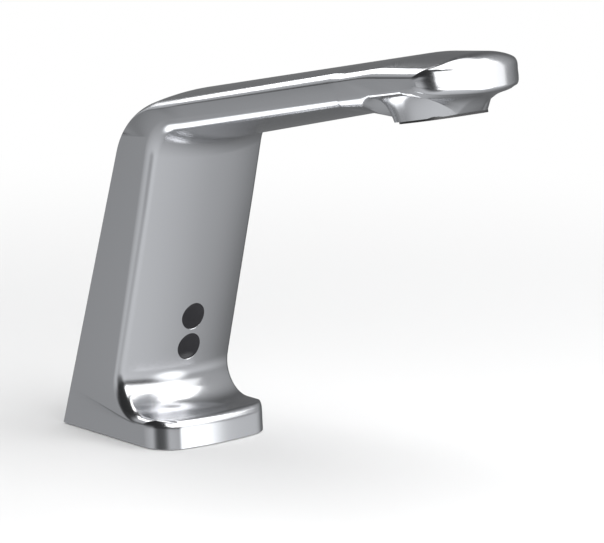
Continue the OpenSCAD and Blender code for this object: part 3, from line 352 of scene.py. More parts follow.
def upper_rows(k, shares):
    """Rows up the back and along the top, k times as dense as the solid's own."""
    arcs, runs = denser(upper_arcs, upper_runs, k)
    radii = [0, 0, shoulder_r, 0, nose_r, tip_r, 0]
    side_radii = [0, 0, shoulder_r - top_crown, 0, nose_r, tip_r * side_tip_r_share, 0]
    low_back = [point(back_s(deck_z), deck_z), point(back_s(blend_top_z), blend_top_z)]
    end = [lerp(tip_top, tip_low, tip_cut_share)]
    side_end = [lerp(side_tip, side_low, tip_cut_share / 2)]
    centres = path_points(low_back + top_corners(0) + nose(reach, 0) + end, radii, arcs, runs)
    sides = path_points(low_back + top_corners(top_inset) + nose(side_end_s, top_inset) + side_end,
                        side_radii, arcs, runs)
    rounds = path_values([edge_r] * 5 + [tip_corner_r] * 2, radii, arcs, runs)
    return [row(c, e, r, shares) for c, e, r in zip(centres, sides, rounds)]


def nozzle_half_w(s):
    d = max(0.0, abs(s - nozzle_s) - nozzle_half_l + nozzle_corner_r)
    return nozzle_w / 2 - nozzle_corner_r + math.sqrt(max(0.0, nozzle_corner_r ** 2 - d * d))


def pod_cove(s):
    """How far the row at s has turned from a crown into the pod's cove."""
    if s < nozzle_back.x:
        return clamp01(1 - (nozzle_back.x - s) / ridge_r)
    return clamp01((tip_low.x - s) / (tip_low.x - nozzle_front.x))


def lower_row(centre, side, r, shares):
    cove = pod_cove(centre.x)
    on_flat = nozzle_back.x <= centre.x <= nozzle_front.x
    flat = nozzle_half_w(max(nozzle_back.x, min(nozzle_front.x, centre.x))) * cove
    return row(centre, side, r, shares, slope=nozzle_k if on_flat else 0, flat=flat, cove=cove)


def pod_side_s(s, last_s, side_last_s):
    """Where the pod's row from s on the centre line meets the side line."""
    ridge_s = nozzle_back.x + edge_r / 2
    if s < nozzle_back.x:
        return lerp(ramp_s, ridge_s, clamp01((s - ramp_s) / (nozzle_back.x - ramp_s)))
    return lerp(ridge_s, side_last_s, (s - nozzle_back.x) / (last_s - nozzle_back.x))


def lower_sides(centres, arcs, runs):
    """The side line's points: toe, front and underside, then the pod, then the spout's end."""
    side_front = front_s(0) - front_inset
    start = path_points(
        [point(base_front - toe_inset, deck_z), point(foot_s - toe_inset, toe_h - edge_r),
         meet(side_front, front_k, toe_h - edge_r, 0), meet(side_front, front_k, low_z(0), side_k),
         point(ramp_s, low_z(ramp_s))], [0, toe_edge_r / 2, toe_blend_r, bend_side_r, 0], arcs, runs)
    end = path_points(
        [side_low - point(edge_r, edge_r * side_k) / 2, side_low,
         lerp(side_tip, side_low, (1 + tip_cut_share) / 2)], [0, edge_r / 4, 0], [0, arcs[-2], 0], [0, 0, 0])
    pod = centres[len(start):len(centres) - len(end) + 1]
    pod_s = [pod_side_s(centre.x, pod[-1].x, end[0].x) for centre in pod]
    return start + [point(s, low_z(s)) for s in pod_s] + end[1:]


def lower_rows(k, shares):
    """Rows up the toe and the front, along the underside and over the pod to the spout's end."""
    arcs, runs = denser(lower_arcs, lower_runs, k)
    radii = [0, toe_edge_r, toe_blend_r, bend_r, ramp_r, ridge_r, lip_r, cove_r, lip_r, 0]
    centres = path_points(
        [point(base_front, deck_z), point(foot_s, toe_h), meet(front_s(0), front_k, toe_h, 0),
         meet(front_s(0), front_k, under_z(0), under_k), point(ramp_s, under_z(ramp_s)), nozzle_back,
         nozzle_front, cove_point, tip_low, lerp(tip_top, tip_low, (1 + tip_cut_share) / 2)],
        radii, arcs, runs)
    sides = lower_sides(centres, arcs, runs)
    rounds = path_values([toe_corner_r] * 2 + [edge_r] * 5 + [tip_corner_r] * 3, radii, arcs, runs)
    return [lower_row(c, e, r, shares) for c, e, r in zip(centres, sides, rounds)]


# Inside of the casting, one wall in from the outer skin
inner_share = (1 - 2 * wall / body_w) ** 2
in_front = front_crown * inner_share + inner_r
in_top = top_crown * inner_share + inner_r
in_toe = toe_crown * inner_share + toe_corner_r - wall
in_end_s = nozzle_front.x - wall
in_side_s = in_end_s - tip_crown


def in_low_z(s):
    return under_z(s, wall) + (low_z(s) - edge_r - under_z(s)) * inner_share + inner_r


def upper_cavity_rows(shares):
    arcs = [0, 8, 0]
    runs = [14, 12, 0]
    foot = point(back_s(-overrun, wall), -overrun)
    centres = path_points([foot, meet(back_s(0, wall), back_k, top_z(0, wall), top_k),
                           point(in_end_s, top_z(in_end_s, wall))],
                          [0, shoulder_r - wall, 0], arcs, runs)
    sides = path_points([foot, meet(back_s(0, wall), back_k, top_z(0, wall) - in_top, top_k),
                         point(in_side_s, top_z(in_side_s, wall) - in_top)],
                        [0, shoulder_r - wall - top_crown, 0], arcs, runs)
    return [row(c, e, inner_r, shares, wall) for c, e in zip(centres, sides)]


def lower_cavity_rows(shares):
    arcs = [0, 2, 4, 8, 0]
    runs = [0, 1, 5, 12, 0]
    toe_foot = point(base_front - wall, -overrun)
    toe_top = point(foot_s - wall, toe_h - wall)
    centres = path_points([toe_foot, toe_top, meet(front_s(0, wall), front_k, toe_h - wall, 0),
                           meet(front_s(0, wall), front_k, under_z(0, wall), under_k),
                           point(in_end_s, under_z(in_end_s, wall))],
                          [0, inner_r, toe_blend_r + wall, bend_r + wall, 0], arcs, runs)
    side_front = front_s(0, wall) - in_front
    low_k = (in_low_z(reach) - in_low_z(0)) / reach
    sides = path_points([toe_foot - point(in_toe, 0), toe_top - point(in_toe, inner_r),
                         meet(side_front, front_k, toe_h - wall - inner_r, 0),
                         meet(side_front, front_k, in_low_z(0), low_k),
                         point(in_side_s, in_low_z(in_side_s))],
                        [0, inner_r, toe_blend_r, bend_side_r, 0], arcs, runs)
    rounds = path_values([toe_corner_r - wall] * 2 + [inner_r] * 3, [0, 1, 1, 1, 0], arcs, runs)
    return [row(c, e, r, shares, wall) for c, e, r in zip(centres, sides, rounds)]


# Frames square to the front wall and to the nozzle's bottom
def on_front(up=0.0):
    return (Matrix.Translation((0, -front_s(window_h) * MM, window_h * MM))
            @ Matrix.Rotation(math.radians(90 + front_lean), 4, "X")
            @ Matrix.Translation((0, up * MM, 0)))


def on_nozzle():
    return (Matrix.Translation((0, -nozzle_s * MM, nozzle_z * MM))
            @ Matrix.Rotation(math.radians(-nozzle_tilt), 4, "X"))


def lathe(name, profile, sides, place):
    """A turned piece: profile holds (radius, height) in millimetres, first and last on the axis."""
    bm = bmesh.new()
    rings = []
    for r, h in profile:
        angles = [2 * math.pi * i / sides for i in range(sides if r > 0 else 1)]
        rings.append([bm.verts.new((r * math.cos(a) * MM, r * math.sin(a) * MM, h * MM)) for a in angles])
    for low, high in zip(rings, rings[1:]):
        for i in range(sides):
            j = (i + 1) % sides
            corners = [low[i % len(low)], low[j % len(low)], high[j % len(high)], high[i % len(high)]]
            bm.faces.new(list(dict.fromkeys(corners)))
    bmesh.ops.recalc_face_normals(bm, faces=bm.faces)
    bm.transform(place)
    return object_from(name, bm)


def rounded_plate(name, w, l, r, low, high, place, steps=12):
    """A cutter: a plate with round corners, from low to high along its own z, in millimetres."""
    bm = bmesh.new()
    outline = []
    for cx, cy, start in ((1, 1, 0), (-1, 1, 90), (-1, -1, 180), (1, -1, 270)):
        for i in range(steps + 1):
            a = math.radians(start + 90 * i / steps)
            outline.append((cx * (w / 2 - r) + r * math.cos(a), cy * (l / 2 - r) + r * math.sin(a)))
    floor = [bm.verts.new((x * MM, y * MM, low * MM)) for x, y in outline]
    roof = [bm.verts.new((x * MM, y * MM, high * MM)) for x, y in outline]
    n = len(outline)
    for i in range(n):
        bm.faces.new((floor[i], floor[(i + 1) % n], roof[(i + 1) % n], roof[i]))
    bm.faces.new(floor[::-1])
    bm.faces.new(roof)
    bm.transform(place)
    return object_from(name, bm)


def cut(piece, cutter):
    """Takes the cutter's space out of the piece and deletes the cutter."""
    modifier = piece.modifiers.new("cut", "BOOLEAN")
    modifier.operation = "DIFFERENCE"
    modifier.solver = "EXACT"
    modifier.object = cutter
    apply_modifiers(piece)
    bpy.data.objects.remove(cutter)


def apply_modifiers(piece):
    graph = bpy.context.evaluated_depsgraph_get()
    mesh = bpy.data.meshes.new_from_object(piece.evaluated_get(graph))
    piece.modifiers.clear()
    old = piece.data
    piece.data = mesh
    mesh.name = piece.name
    bpy.data.meshes.remove(old)


# Smooth normals of the skin, which the cuts leave as they are
skin_sharp_deg = 32
on_skin_gap = 0.02
on_skin_cos = 0.9
least_normal = 0.5


def keep_skin_normals(piece, source):
    """Gives the faces that lie on the uncut source skin that skin's own smooth normals."""
    mesh = piece.data
    mesh.set_sharp_from_angle(angle=math.radians(skin_sharp_deg))
    source.set_sharp_from_angle(angle=math.radians(skin_sharp_deg))
    normals = [corner.vector.copy() for corner in mesh.corner_normals]
    faces = [tuple(p.vertices) for p in source.polygons]
    tree = BVHTree.FromPolygons([v.co for v in source.vertices], faces)
    corner_of = [n.vector for n in source.corner_normals]
    for polygon in mesh.polygons:
        index, distance = tree.find_nearest(polygon.center)[2:]
        if index is None or distance > on_skin_gap * MM:
            continue
        face = source.polygons[index]
        if face.normal.dot(polygon.normal) < on_skin_cos:
            continue
        for loop in polygon.loop_indices:
            spot = mesh.vertices[mesh.loops[loop].vertex_index].co
            weights = poly_3d_calc([source.vertices[v].co for v in face.vertices], spot)
            smooth = sum((corner_of[k] * w for k, w in zip(face.loop_indices, weights)), Vector())
            if smooth.length > least_normal:
                normals[loop] = smooth.normalized()
    mesh.normals_split_custom_set(normals)


# Casting: one piece, cut for the windows, the sensor's pocket and the outlet
plate_margin = 1.5
aerator_r = 8.2
outlet_wall = 1.0
outlet_plate_t = 1.2
outlet_proud = 0.7
fitting_r = aerator_r + outlet_wall
fitting_w = nozzle_w - 2 * plate_margin
fitting_l = nozzle_l - 2 * plate_margin
fitting_corner_r = nozzle_corner_r - plate_margin
fitting_top = 15.5
pocket_bite = 0.4
pocket_out = wall - pocket_bite
sensor_half_w = 8.6
sensor_half_h = 12.2
loose_gap = 0.4
window_chamfer = 0.1
bore_sides = 96
solid_steps = 14
skin_steps = 48
skin_density = 3


def window_cutter(up):
    rim = window_r + 2 * window_chamfer
    profile = [(0, -2 * wall), (window_r, -2 * wall), (window_r, -window_chamfer),
               (rim, window_chamfer), (rim, wall), (0, wall)]
    return lathe("window_cut", profile, bore_sides, on_front(up))


def pocket_cutter():
    size = [2 * (sensor_half_w + loose_gap), 2 * (sensor_half_h + loose_gap), inner_r]
    return rounded_plate("pocket_cut", *size, -3 * wall, -pocket_out, on_front())


def recess_cutter():
    size = [fitting_w + 2 * fit_gap, fitting_l + 2 * fit_gap, fitting_corner_r + fit_gap]
    return rounded_plate("recess_cut", *size, -overrun, outlet_plate_t - outlet_proud, on_nozzle())


def bore_cutter():
    r = fitting_r + fit_gap
    top = fitting_top + wall
    return lathe("bore_cut", [(0, -overrun), (r, -overrun), (r, top), (0, top)], bore_sides, on_nozzle())


def make_casting():
    density = skin_density
    shares = width_shares(skin_steps)
    casting = loft_mesh("tap_body", upper_rows(density, shares), lower_rows(density, shares))
    uncut = casting.data.copy()
    inner_shares = width_shares(solid_steps)
    cut(casting, loft_mesh("cavity_cut", upper_cavity_rows(inner_shares), lower_cavity_rows(inner_shares)))
    cut(casting, window_cutter(-window_gap / 2))
    cut(casting, window_cutter(window_gap / 2))
    cut(casting, pocket_cutter())
    cut(casting, recess_cutter())
    cut(casting, bore_cutter())
    keep_skin_normals(casting, uncut)
    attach(casting, "tap_body")
    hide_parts("body_casting")
    return casting


casting = make_casting()


# Windows: polished discs with a small bevel, set just under the casting's face
window_set = 0.1
window_bevel = 0.3
window_lip = 0.4
window_crown = 0.02
window_sides = 96
crease_deg = 40
rubber_t = 0.8


def make_window(name, node, up):
    r = window_r - fit_gap
    top = -window_set
    flange = r + window_lip
    back = -pocket_out
    profile = [(0, back - rubber_t), (flange, back - rubber_t), (flange, back), (r, back),
               (r, top - window_bevel), (r - window_bevel / 3, top - window_bevel / 4),
               (r - window_bevel, top - window_crown), (0, top)]
    disc = lathe(name, profile, window_sides, on_front(up))
    disc.data.set_sharp_from_angle(angle=math.radians(crease_deg))
    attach(disc, "tap_body")
    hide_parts(node)
    return disc


emitter_disc = make_window("emitter_disc", "emitter_window", window_gap / 2)
receiver_disc = make_window("receiver_disc", "receiver_window", -window_gap / 2)


# Springs: the same coils as the solids', each with a mesh of its own
def make_coil(name, node):
    coil = bpy.data.objects.new(name, nodes[node].data.copy())
    scene.collection.objects.link(coil)
    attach(coil, "tap_body")
    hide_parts(node)
    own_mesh(coil)
    return coil


plunger_coil = make_coil("plunger_coil", "plunger_spring")
check_coil = make_coil("check_coil", "check_spring")


# Shader node groups that several materials use
def new_group(name, inputs, outputs):
    group = bpy.data.node_groups.new(name, "ShaderNodeTree")
    for label, value in inputs.items():
        socket = group.interface.new_socket(label, in_out="INPUT", socket_type="NodeSocketFloat")
        socket.default_value = value
    for label in outputs:
        group.interface.new_socket(label, in_out="OUTPUT", socket_type="NodeSocketFloat")
    return group, group.nodes.new("NodeGroupInput"), group.nodes.new("NodeGroupOutput")


def add_noise(tree, place, scale, detail, rough):
    noise = tree.nodes.new("ShaderNodeTexNoise")
    noise.inputs["Detail"].default_value = detail
    noise.inputs["Roughness"].default_value = rough
    tree.links.new(place, noise.inputs["Vector"])
    tree.links.new(scale, noise.inputs["Scale"])
    return noise.outputs["Fac"]


def add_math(tree, operation, a, b):
    node = tree.nodes.new("ShaderNodeMath")
    node.operation = operation
    for socket, value in zip(node.inputs, (a, b)):
        if isinstance(value, (int, float)):
            socket.default_value = value
        else:
            tree.links.new(value, socket)
    return node.outputs["Value"]


def object_coordinates(tree):
    return tree.nodes.new("ShaderNodeTexCoord").outputs["Object"]


def make_smudge_group():
    """Roughness that drifts a little over a surface, as handling and polishing leave it."""
    inputs = {"Base": 0.2, "Drift": 0.05, "Scale": 60.0}
    group, gin, gout = new_group("handling_smudges", inputs, ["Roughness"])
    broad = add_noise(group, object_coordinates(group), gin.outputs["Scale"], detail=4.0, rough=0.6)
    centred = add_math(group, "SUBTRACT", broad, 0.5)
    drift = add_math(group, "MULTIPLY", centred, gin.outputs["Drift"])
    group.links.new(add_math(group, "ADD", gin.outputs["Base"], drift), gout.inputs["Roughness"])
    return group


broad_share = 0.12


def make_grain_group():
    """Fine height for moulded, cast or rubbed surfaces, and a broader mask."""
    group, gin, gout = new_group("fine_grain", {"Scale": 2000.0, "Soft": 0.5}, ["Height", "Mask"])
    place = object_coordinates(group)
    broad_scale = add_math(group, "MULTIPLY", gin.outputs["Scale"], broad_share)
    fine = add_noise(group, place, gin.outputs["Scale"], detail=2.0, rough=0.6)
    broad = add_noise(group, place, broad_scale, detail=2.0, rough=0.5)
    mixed = add_math(group, "MULTIPLY", broad, gin.outputs["Soft"])
    group.links.new(add_math(group, "ADD", fine, mixed), gout.inputs["Height"])
    group.links.new(broad, gout.inputs["Mask"])
    return group


flat_pointiness = 0.5
worn_pointiness = 0.62


def make_wear_group():
    """A mask of convex edges, broken up so that the wear isn't even."""
    group, gin, gout = new_group("edge_wear", {"Amount": 1.0, "Scale": 300.0}, ["Mask"])
    geometry = group.nodes.new("ShaderNodeNewGeometry")
    broken = add_noise(group, object_coordinates(group), gin.outputs["Scale"], detail=4.0, rough=0.7)
    ramp = group.nodes.new("ShaderNodeMapRange")
    ramp.inputs["From Min"].default_value = flat_pointiness
    ramp.inputs["From Max"].default_value = worn_pointiness
    group.links.new(geometry.outputs["Pointiness"], ramp.inputs["Value"])
    worn = add_math(group, "MULTIPLY", ramp.outputs["Result"], broken)
    group.links.new(add_math(group, "MULTIPLY", worn, gin.outputs["Amount"]), gout.inputs["Mask"])
    return group


def make_lathe_group():
    """Height of fine turning rings along an axis."""
    group, gin, gout = new_group("turning_rings", {"Pitch Scale": 900.0}, ["Height"])
    wave = group.nodes.new("ShaderNodeTexWave")
    wave.bands_direction = "Z"
    wave.inputs["Distortion"].default_value = 1.5
    wave.inputs["Detail"].default_value = 2.0
    group.links.new(object_coordinates(group), wave.inputs["Vector"])
    group.links.new(gin.outputs["Pitch Scale"], wave.inputs["Scale"])
    group.links.new(wave.outputs["Fac"], gout.inputs["Height"])
    return group


smudges = make_smudge_group()
grain = make_grain_group()
wear = make_wear_group()
rings = make_lathe_group()


def place_group(tree, group, **values):
    node = tree.nodes.new("ShaderNodeGroup")
    node.node_tree = group
    for label, value in values.items():
        node.inputs[label.replace("_", " ")].default_value = value
    return node


def new_material(name, **sockets):
    material = bpy.data.materials.new(name)
    material.use_nodes = True
    shader = material.node_tree.nodes["Principled BSDF"]
    for label, value in sockets.items():
        shader.inputs[label.replace("_", " ")].default_value = value
    return material, material.node_tree, shader


def link_bump(tree, shader, height, strength, depth):
    """Bumps the surface by that height, up to depth in millimetres."""
    bump = tree.nodes.new("ShaderNodeBump")
    bump.inputs["Strength"].default_value = strength
    bump.inputs["Distance"].default_value = depth * MM
    tree.links.new(height, bump.inputs["Height"])
    tree.links.new(bump.outputs["Normal"], shader.inputs["Normal"])


def link_smudges(tree, shader, base, drift, scale):
    node = place_group(tree, smudges, Base=base, Drift=drift, Scale=scale)
    tree.links.new(node.outputs["Roughness"], shader.inputs["Roughness"])


def mix_colours(tree, factor, dark, light):
    mix = tree.nodes.new("ShaderNodeMix")
    mix.data_type = "RGBA"
    mix.inputs["A"].default_value = (*dark, 1)
    mix.inputs["B"].default_value = (*light, 1)
    tree.links.new(factor, mix.inputs["Factor"])
    return mix.outputs["Result"]


def satin_chrome():
    """Chrome plate over a finely blasted casting: a soft, wide reflection."""
    material, tree, shader = new_material("satin_chrome", Metallic=1.0, Base_Color=(0.56, 0.565, 0.58, 1))
    link_smudges(tree, shader, base=0.2, drift=0.03, scale=45.0)
    node = place_group(tree, grain, Scale=2600.0, Soft=0.6)
    link_bump(tree, shader, node.outputs["Height"], strength=0.03, depth=0.02)
    return material


def window_plastic():
    material, tree, shader = new_material("window_plastic", Base_Color=(0.012, 0.012, 0.014, 1), IOR=1.49,
                                          Specular_IOR_Level=0.3)
    link_smudges(tree, shader, base=0.16, drift=0.05, scale=220.0)
    node = place_group(tree, grain, Scale=500.0, Soft=0.2)
    tree.links.new(mix_colours(tree, node.outputs["Mask"], (0.012, 0.012, 0.014), (0.02, 0.019, 0.022)),
                   shader.inputs["Base Color"])
    return material


def moulded_plastic(name, dark, light, rough):
    material, tree, shader = new_material(name, IOR=1.5)
    link_smudges(tree, shader, base=rough, drift=0.12, scale=150.0)
    node = place_group(tree, grain, Scale=3200.0, Soft=0.8)
    tree.links.new(mix_colours(tree, node.outputs["Mask"], dark, light), shader.inputs["Base Color"])
    link_bump(tree, shader, node.outputs["Height"], strength=0.25, depth=0.04)
    return material


def turned_metal(name, dark, light, rough, pitch_scale=900.0, strength=0.12):
    material, tree, shader = new_material(name, Metallic=1.0)
    link_smudges(tree, shader, base=rough, drift=0.12, scale=180.0)
    worn = place_group(tree, wear, Amount=0.8, Scale=400.0)
    base = place_group(tree, grain, Scale=900.0, Soft=0.5)
    shade = add_math(tree, "ADD", base.outputs["Mask"], worn.outputs["Mask"])
    tree.links.new(mix_colours(tree, shade, dark, light), shader.inputs["Base Color"])
    lines = place_group(tree, rings, Pitch_Scale=pitch_scale)
    link_bump(tree, shader, lines.outputs["Height"], strength=strength, depth=0.03)
    return material


def soft_rubber():
    material, tree, shader = new_material("soft_rubber", IOR=1.5)
    link_smudges(tree, shader, base=0.74, drift=0.16, scale=240.0)
    node = place_group(tree, grain, Scale=2400.0, Soft=1.0)
    tree.links.new(mix_colours(tree, node.outputs["Mask"], (0.014, 0.014, 0.015), (0.034, 0.033, 0.032)),
                   shader.inputs["Base Color"])
    link_bump(tree, shader, node.outputs["Height"], strength=0.3, depth=0.04)
    return material


def circuit_board():
    material, tree, shader = new_material("circuit_board", Coat_Weight=0.6)
    link_smudges(tree, shader, base=0.38, drift=0.1, scale=300.0)
    tracks = tree.nodes.new("ShaderNodeTexBrick")
    tracks.inputs["Scale"].default_value = 260.0
    tracks.inputs["Mortar Size"].default_value = 0.06
    tracks.inputs["Color1"].default_value = (0.02, 0.12, 0.05, 1)
    tracks.inputs["Color2"].default_value = (0.03, 0.16, 0.07, 1)
    tracks.inputs["Mortar"].default_value = (0.09, 0.26, 0.12, 1)
    tree.links.new(object_coordinates(tree), tracks.inputs["Vector"])
    tree.links.new(tracks.outputs["Color"], shader.inputs["Base Color"])
    link_bump(tree, shader, tracks.outputs["Fac"], strength=0.2, depth=0.05)
    return material


def epoxy_lens():
    material, tree, shader = new_material("epoxy_lens", Base_Color=(0.75, 0.78, 0.88, 1), IOR=1.54,
                                          Transmission_Weight=0.85)
    link_smudges(tree, shader, base=0.08, drift=0.05, scale=400.0)
    return material


def wound_copper():
    material, tree, shader = new_material("wound_copper", Metallic=1.0, Coat_Weight=0.5)
    link_smudges(tree, shader, base=0.3, drift=0.1, scale=300.0)
    node = place_group(tree, grain, Scale=1500.0, Soft=0.5)
    tree.links.new(mix_colours(tree, node.outputs["Mask"], (0.42, 0.15, 0.05), (0.66, 0.28, 0.11)),
                   shader.inputs["Base Color"])
    lines = place_group(tree, rings, Pitch_Scale=1600.0)
    link_bump(tree, shader, lines.outputs["Height"], strength=0.6, depth=0.12)
    return material


finishes = {
    "chrome": satin_chrome(),
    "window": window_plastic(),
    "black_plastic": moulded_plastic("black_plastic", (0.012, 0.012, 0.013), (0.026, 0.026, 0.027),
                                     rough=0.42),
    "dark_plastic": moulded_plastic("dark_plastic", (0.022, 0.023, 0.025), (0.045, 0.046, 0.048),
                                    rough=0.5),
    "white_plastic": moulded_plastic("white_plastic", (0.62, 0.6, 0.53), (0.76, 0.74, 0.68), rough=0.42),
    "steel": turned_metal("stainless_steel", (0.42, 0.42, 0.43), (0.66, 0.66, 0.67), rough=0.3),
    "zinc": turned_metal("zinc_plate", (0.34, 0.36, 0.39), (0.6, 0.62, 0.65), rough=0.38,
                         pitch_scale=300.0, strength=0.06),
    "brass": turned_metal("machined_brass", (0.5, 0.34, 0.13), (0.78, 0.58, 0.28), rough=0.28,
                          pitch_scale=700.0),
    "copper": wound_copper(),
    "rubber": soft_rubber(),
    "board": circuit_board(),
    "lens": epoxy_lens(),
}
slot_of = {part["node"]: part["material_slot"] for part in frame["record"]["subparts"]}
for name, node in nodes.items():
    node.data.materials.clear()
    node.data.materials.append(finishes[slot_of[name]])
own_pieces = ((casting, "chrome"), (emitter_disc, "window"), (receiver_disc, "window"),
              (plunger_coil, "steel"), (check_coil, "steel"))
for piece, slot in own_pieces:
    piece.data.materials.clear()
    piece.data.materials.append(finishes[slot])


# Light: floor and studio. Directions are in degrees: azimuth 0 is ahead of the spout, 90 is towards +X,
# and left and right are as seen from ahead of the spout
plain_white = (1, 1, 1, 1)
floor_half = 12.0
floor_cells = 24
# Painted shade around the tap: near it the floor's white glow fades to a small share and the grey diffuse
# floor shows, darker than the lamps alone make it; the tap's real shadow falls on it as well
floor_white = 0.68
glow_in_painted_shade = 0.08
painted_shade_near = 0.12
painted_shade_far = 0.5
room_light = 0.04
room_tint = (0.965, 0.98, 1.0, 1)
sweep_mid = 0.55
sweep_x = -0.31
sweep_y = -0.35
horizon_low = -0.18
horizon_high = -0.01
# Cards hold azimuth, elevation, outer and inner angle, and radiance
low_rear_card = (-155, -50, 17, 7, 2.6)
low_front_card = (22, -6, 18, 6, 1.8)
right_glow = (58, 25, 60, 15, 0.5)
left_flag = (-66, -2, 32, 10, -0.8)
left_rear_glow = (-158, 18, 28, 10, 0.65)
right_rear_glow = (145, 12, 52, 15, 0.13)
studio_cards = (low_rear_card, low_front_card, right_glow, left_flag, left_rear_glow, right_rear_glow)
# Softboxes hold azimuth, elevation, distance, degrees covered across and up, and radiance
lit_spot = Vector((0, -0.15, 0.13))
softboxes = {
    "overhead_softbox": (10, 86, 1.5, (52, 50), 2.8),
    "back_softbox": (180, 34, 1.6, (40, 22), 3.6),
    "front_softbox": (3, 18, 0.35, (78, 42), 2.4),
    "nose_softbox": (-42, 17, 0.35, (38, 42), 2.8),
    "front_side_softbox": (57, 16, 0.35, (28, 40), 1.2),
    "side_softbox": (32, 48, 1.6, (56, 32), 3.0),
}


def heading(azimuth, elevation):
    a = math.radians(azimuth)
    e = math.radians(elevation)
    return Vector((math.sin(a) * math.cos(e), -math.cos(a) * math.cos(e), math.sin(e)))


def make_softbox(name, azimuth, elevation, distance, spread, radiance):
    """A rectangular lamp that faces the tap."""
    w, h = (2 * distance * tan_deg(angle / 2) for angle in spread)
    light = bpy.data.lights.new(name, "AREA")
    light.shape = "RECTANGLE"
    light.size = w
    light.size_y = h
    light.energy = radiance * math.pi * w * h
    lamp = bpy.data.objects.new(name, light)
    toward = heading(azimuth, elevation)
    lamp.location = lit_spot + distance * toward
    lamp.rotation_euler = (-toward).to_track_quat("-Z", "Y").to_euler()
    lamp.visible_camera = False
    scene.collection.objects.link(lamp)


def add_range(tree, value, low, high, start, end):
    """Turns low to high into start to end, with soft ends."""
    node = tree.nodes.new("ShaderNodeMapRange")
    node.interpolation_type = "SMOOTHSTEP"
    for label, number in (("From Min", low), ("From Max", high), ("To Min", start), ("To Max", end)):
        node.inputs[label].default_value = number
    tree.links.new(value, node.inputs["Value"])
    return node.outputs["Result"]


def mix_shaders(tree, factor, first, second):
    mix = tree.nodes.new("ShaderNodeMixShader")
    for socket, output in zip(mix.inputs, (factor, first, second)):
        tree.links.new(output, socket)
    return mix.outputs["Shader"]


def seen_directly(tree):
    """One for what the camera sees, straight or through a clear piece."""
    light_path = tree.nodes.new("ShaderNodeLightPath")
    rays = [light_path.outputs[label] for label in ("Is Camera Ray", "Is Transmission Ray")]
    return add_math(tree, "MAXIMUM", *rays)


def white_floor():
    """White far from the tap; near it the white glow fades out, which paints shade around the tap on top of
    its real soft shadow. Reflections look past it to the studio.
    """
    material = bpy.data.materials.new("white_floor")
    material.use_nodes = True
    tree = material.node_tree
    tree.nodes.remove(tree.nodes["Principled BSDF"])
    diffuse = tree.nodes.new("ShaderNodeBsdfDiffuse")
    diffuse.inputs["Color"].default_value = (floor_white, floor_white, floor_white, 1)
    glow = tree.nodes.new("ShaderNodeEmission")
    glow.inputs["Color"].default_value = plain_white
    glow.inputs["Strength"].default_value = 1.0
    clear = tree.nodes.new("ShaderNodeBsdfTransparent")
    away = tree.nodes.new("ShaderNodeVectorMath")
    away.operation = "LENGTH"
    tree.links.new(object_coordinates(tree), away.inputs[0])
    # Painted shade: the camera's white glow falls from full far from the tap to a small share near it
    share = add_range(tree, away.outputs["Value"], painted_shade_near, painted_shade_far, glow_in_painted_shade, 1.0)
    seen = add_math(tree, "MULTIPLY", seen_directly(tree), share)
    white = mix_shaders(tree, seen, diffuse.outputs["BSDF"], glow.outputs["Emission"])
    glossy = tree.nodes.new("ShaderNodeLightPath").outputs["Is Glossy Ray"]
    surface = mix_shaders(tree, glossy, white, clear.outputs["BSDF"])
    tree.links.new(surface, tree.nodes["Material Output"].inputs["Surface"])
    return material


def make_floor():
    bm = bmesh.new()
    bmesh.ops.create_grid(bm, x_segments=floor_cells, y_segments=floor_cells, size=floor_half)
    floor = object_from("floor", bm)
    floor.data.materials.append(white_floor())


def add_sweep(tree, direction):
    """Light below the horizon, more of it ahead and on the left, and a dim room above."""
    split = tree.nodes.new("ShaderNodeSeparateXYZ")
    tree.links.new(direction, split.inputs["Vector"])
    x, y, z = (split.outputs[axis] for axis in "XYZ")
    across = add_math(tree, "MULTIPLY", x, sweep_x)
    ahead = add_math(tree, "MULTIPLY", y, sweep_y)
    sweep = add_math(tree, "ADD", add_math(tree, "ADD", across, ahead), sweep_mid)
    sweep = add_math(tree, "MAXIMUM", sweep, room_light)
    share = add_range(tree, z, horizon_low, horizon_high, 1.0, 0.0)
    below = add_math(tree, "MULTIPLY", sweep, share)
    above = add_math(tree, "MULTIPLY", add_math(tree, "SUBTRACT", 1.0, share), room_light)
    return add_math(tree, "ADD", below, above)


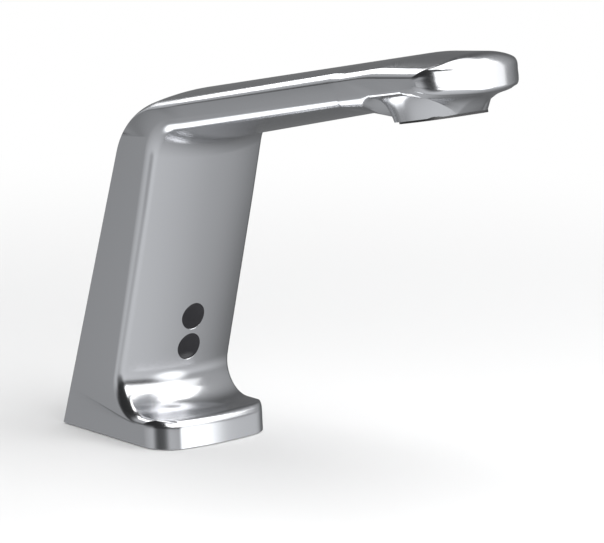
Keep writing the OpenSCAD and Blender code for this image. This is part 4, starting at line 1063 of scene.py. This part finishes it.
def add_card(tree, direction, azimuth, elevation, outer, inner, radiance):
    """A round card in the studio with soft edges; one of negative radiance takes light away."""
    toward = tree.nodes.new("ShaderNodeVectorMath")
    toward.operation = "DOT_PRODUCT"
    toward.inputs[1].default_value = heading(azimuth, elevation)
    tree.links.new(direction, toward.inputs[0])
    edges = (math.cos(math.radians(angle)) for angle in (outer, inner))
    return add_range(tree, toward.outputs["Value"], *edges, 0.0, radiance)


def make_studio():
    """A graded room for reflections and light, and plain white for what the camera sees."""
    world = bpy.data.worlds.new("studio")
    world.use_nodes = True
    tree = world.node_tree
    direction = tree.nodes.new("ShaderNodeTexCoord").outputs["Generated"]
    light = add_sweep(tree, direction)
    for card in studio_cards:
        light = add_math(tree, "ADD", light, add_card(tree, direction, *card))
    room = tree.nodes["Background"]
    room.inputs["Color"].default_value = room_tint
    tree.links.new(add_math(tree, "MAXIMUM", light, room_light), room.inputs["Strength"])
    white = tree.nodes.new("ShaderNodeBackground")
    white.inputs["Color"].default_value = plain_white
    outputs = [node.outputs["Background"] for node in (room, white)]
    surface = mix_shaders(tree, seen_directly(tree), *outputs)
    tree.links.new(surface, tree.nodes["World Output"].inputs["Surface"])
    scene.world = world


make_floor()
make_studio()
for name, values in softboxes.items():
    make_softbox(name, *values)


# Camera: degrees left of straight ahead and above level, and the focal length in image pixels
camera_azimuth = 40.295
camera_elevation = 12.192
camera_spot = Vector((-0.84143, -1.06088, 0.34596))
sensor_mm = 36.0
focal_px = 4149.3
image_px = 604.0
nearest_seen = 0.01


def make_camera():
    data = bpy.data.cameras.new("camera")
    data.sensor_fit = "HORIZONTAL"
    data.sensor_width = sensor_mm
    data.lens = focal_px / image_px * sensor_mm
    data.clip_start = nearest_seen
    camera = bpy.data.objects.new("camera", data)
    camera.location = camera_spot
    look = -heading(-camera_azimuth, camera_elevation)
    camera.rotation_euler = look.to_track_quat("-Z", "Y").to_euler()
    scene.collection.objects.link(camera)
    scene.camera = camera


make_camera()
scene.view_settings.view_transform = "Standard"
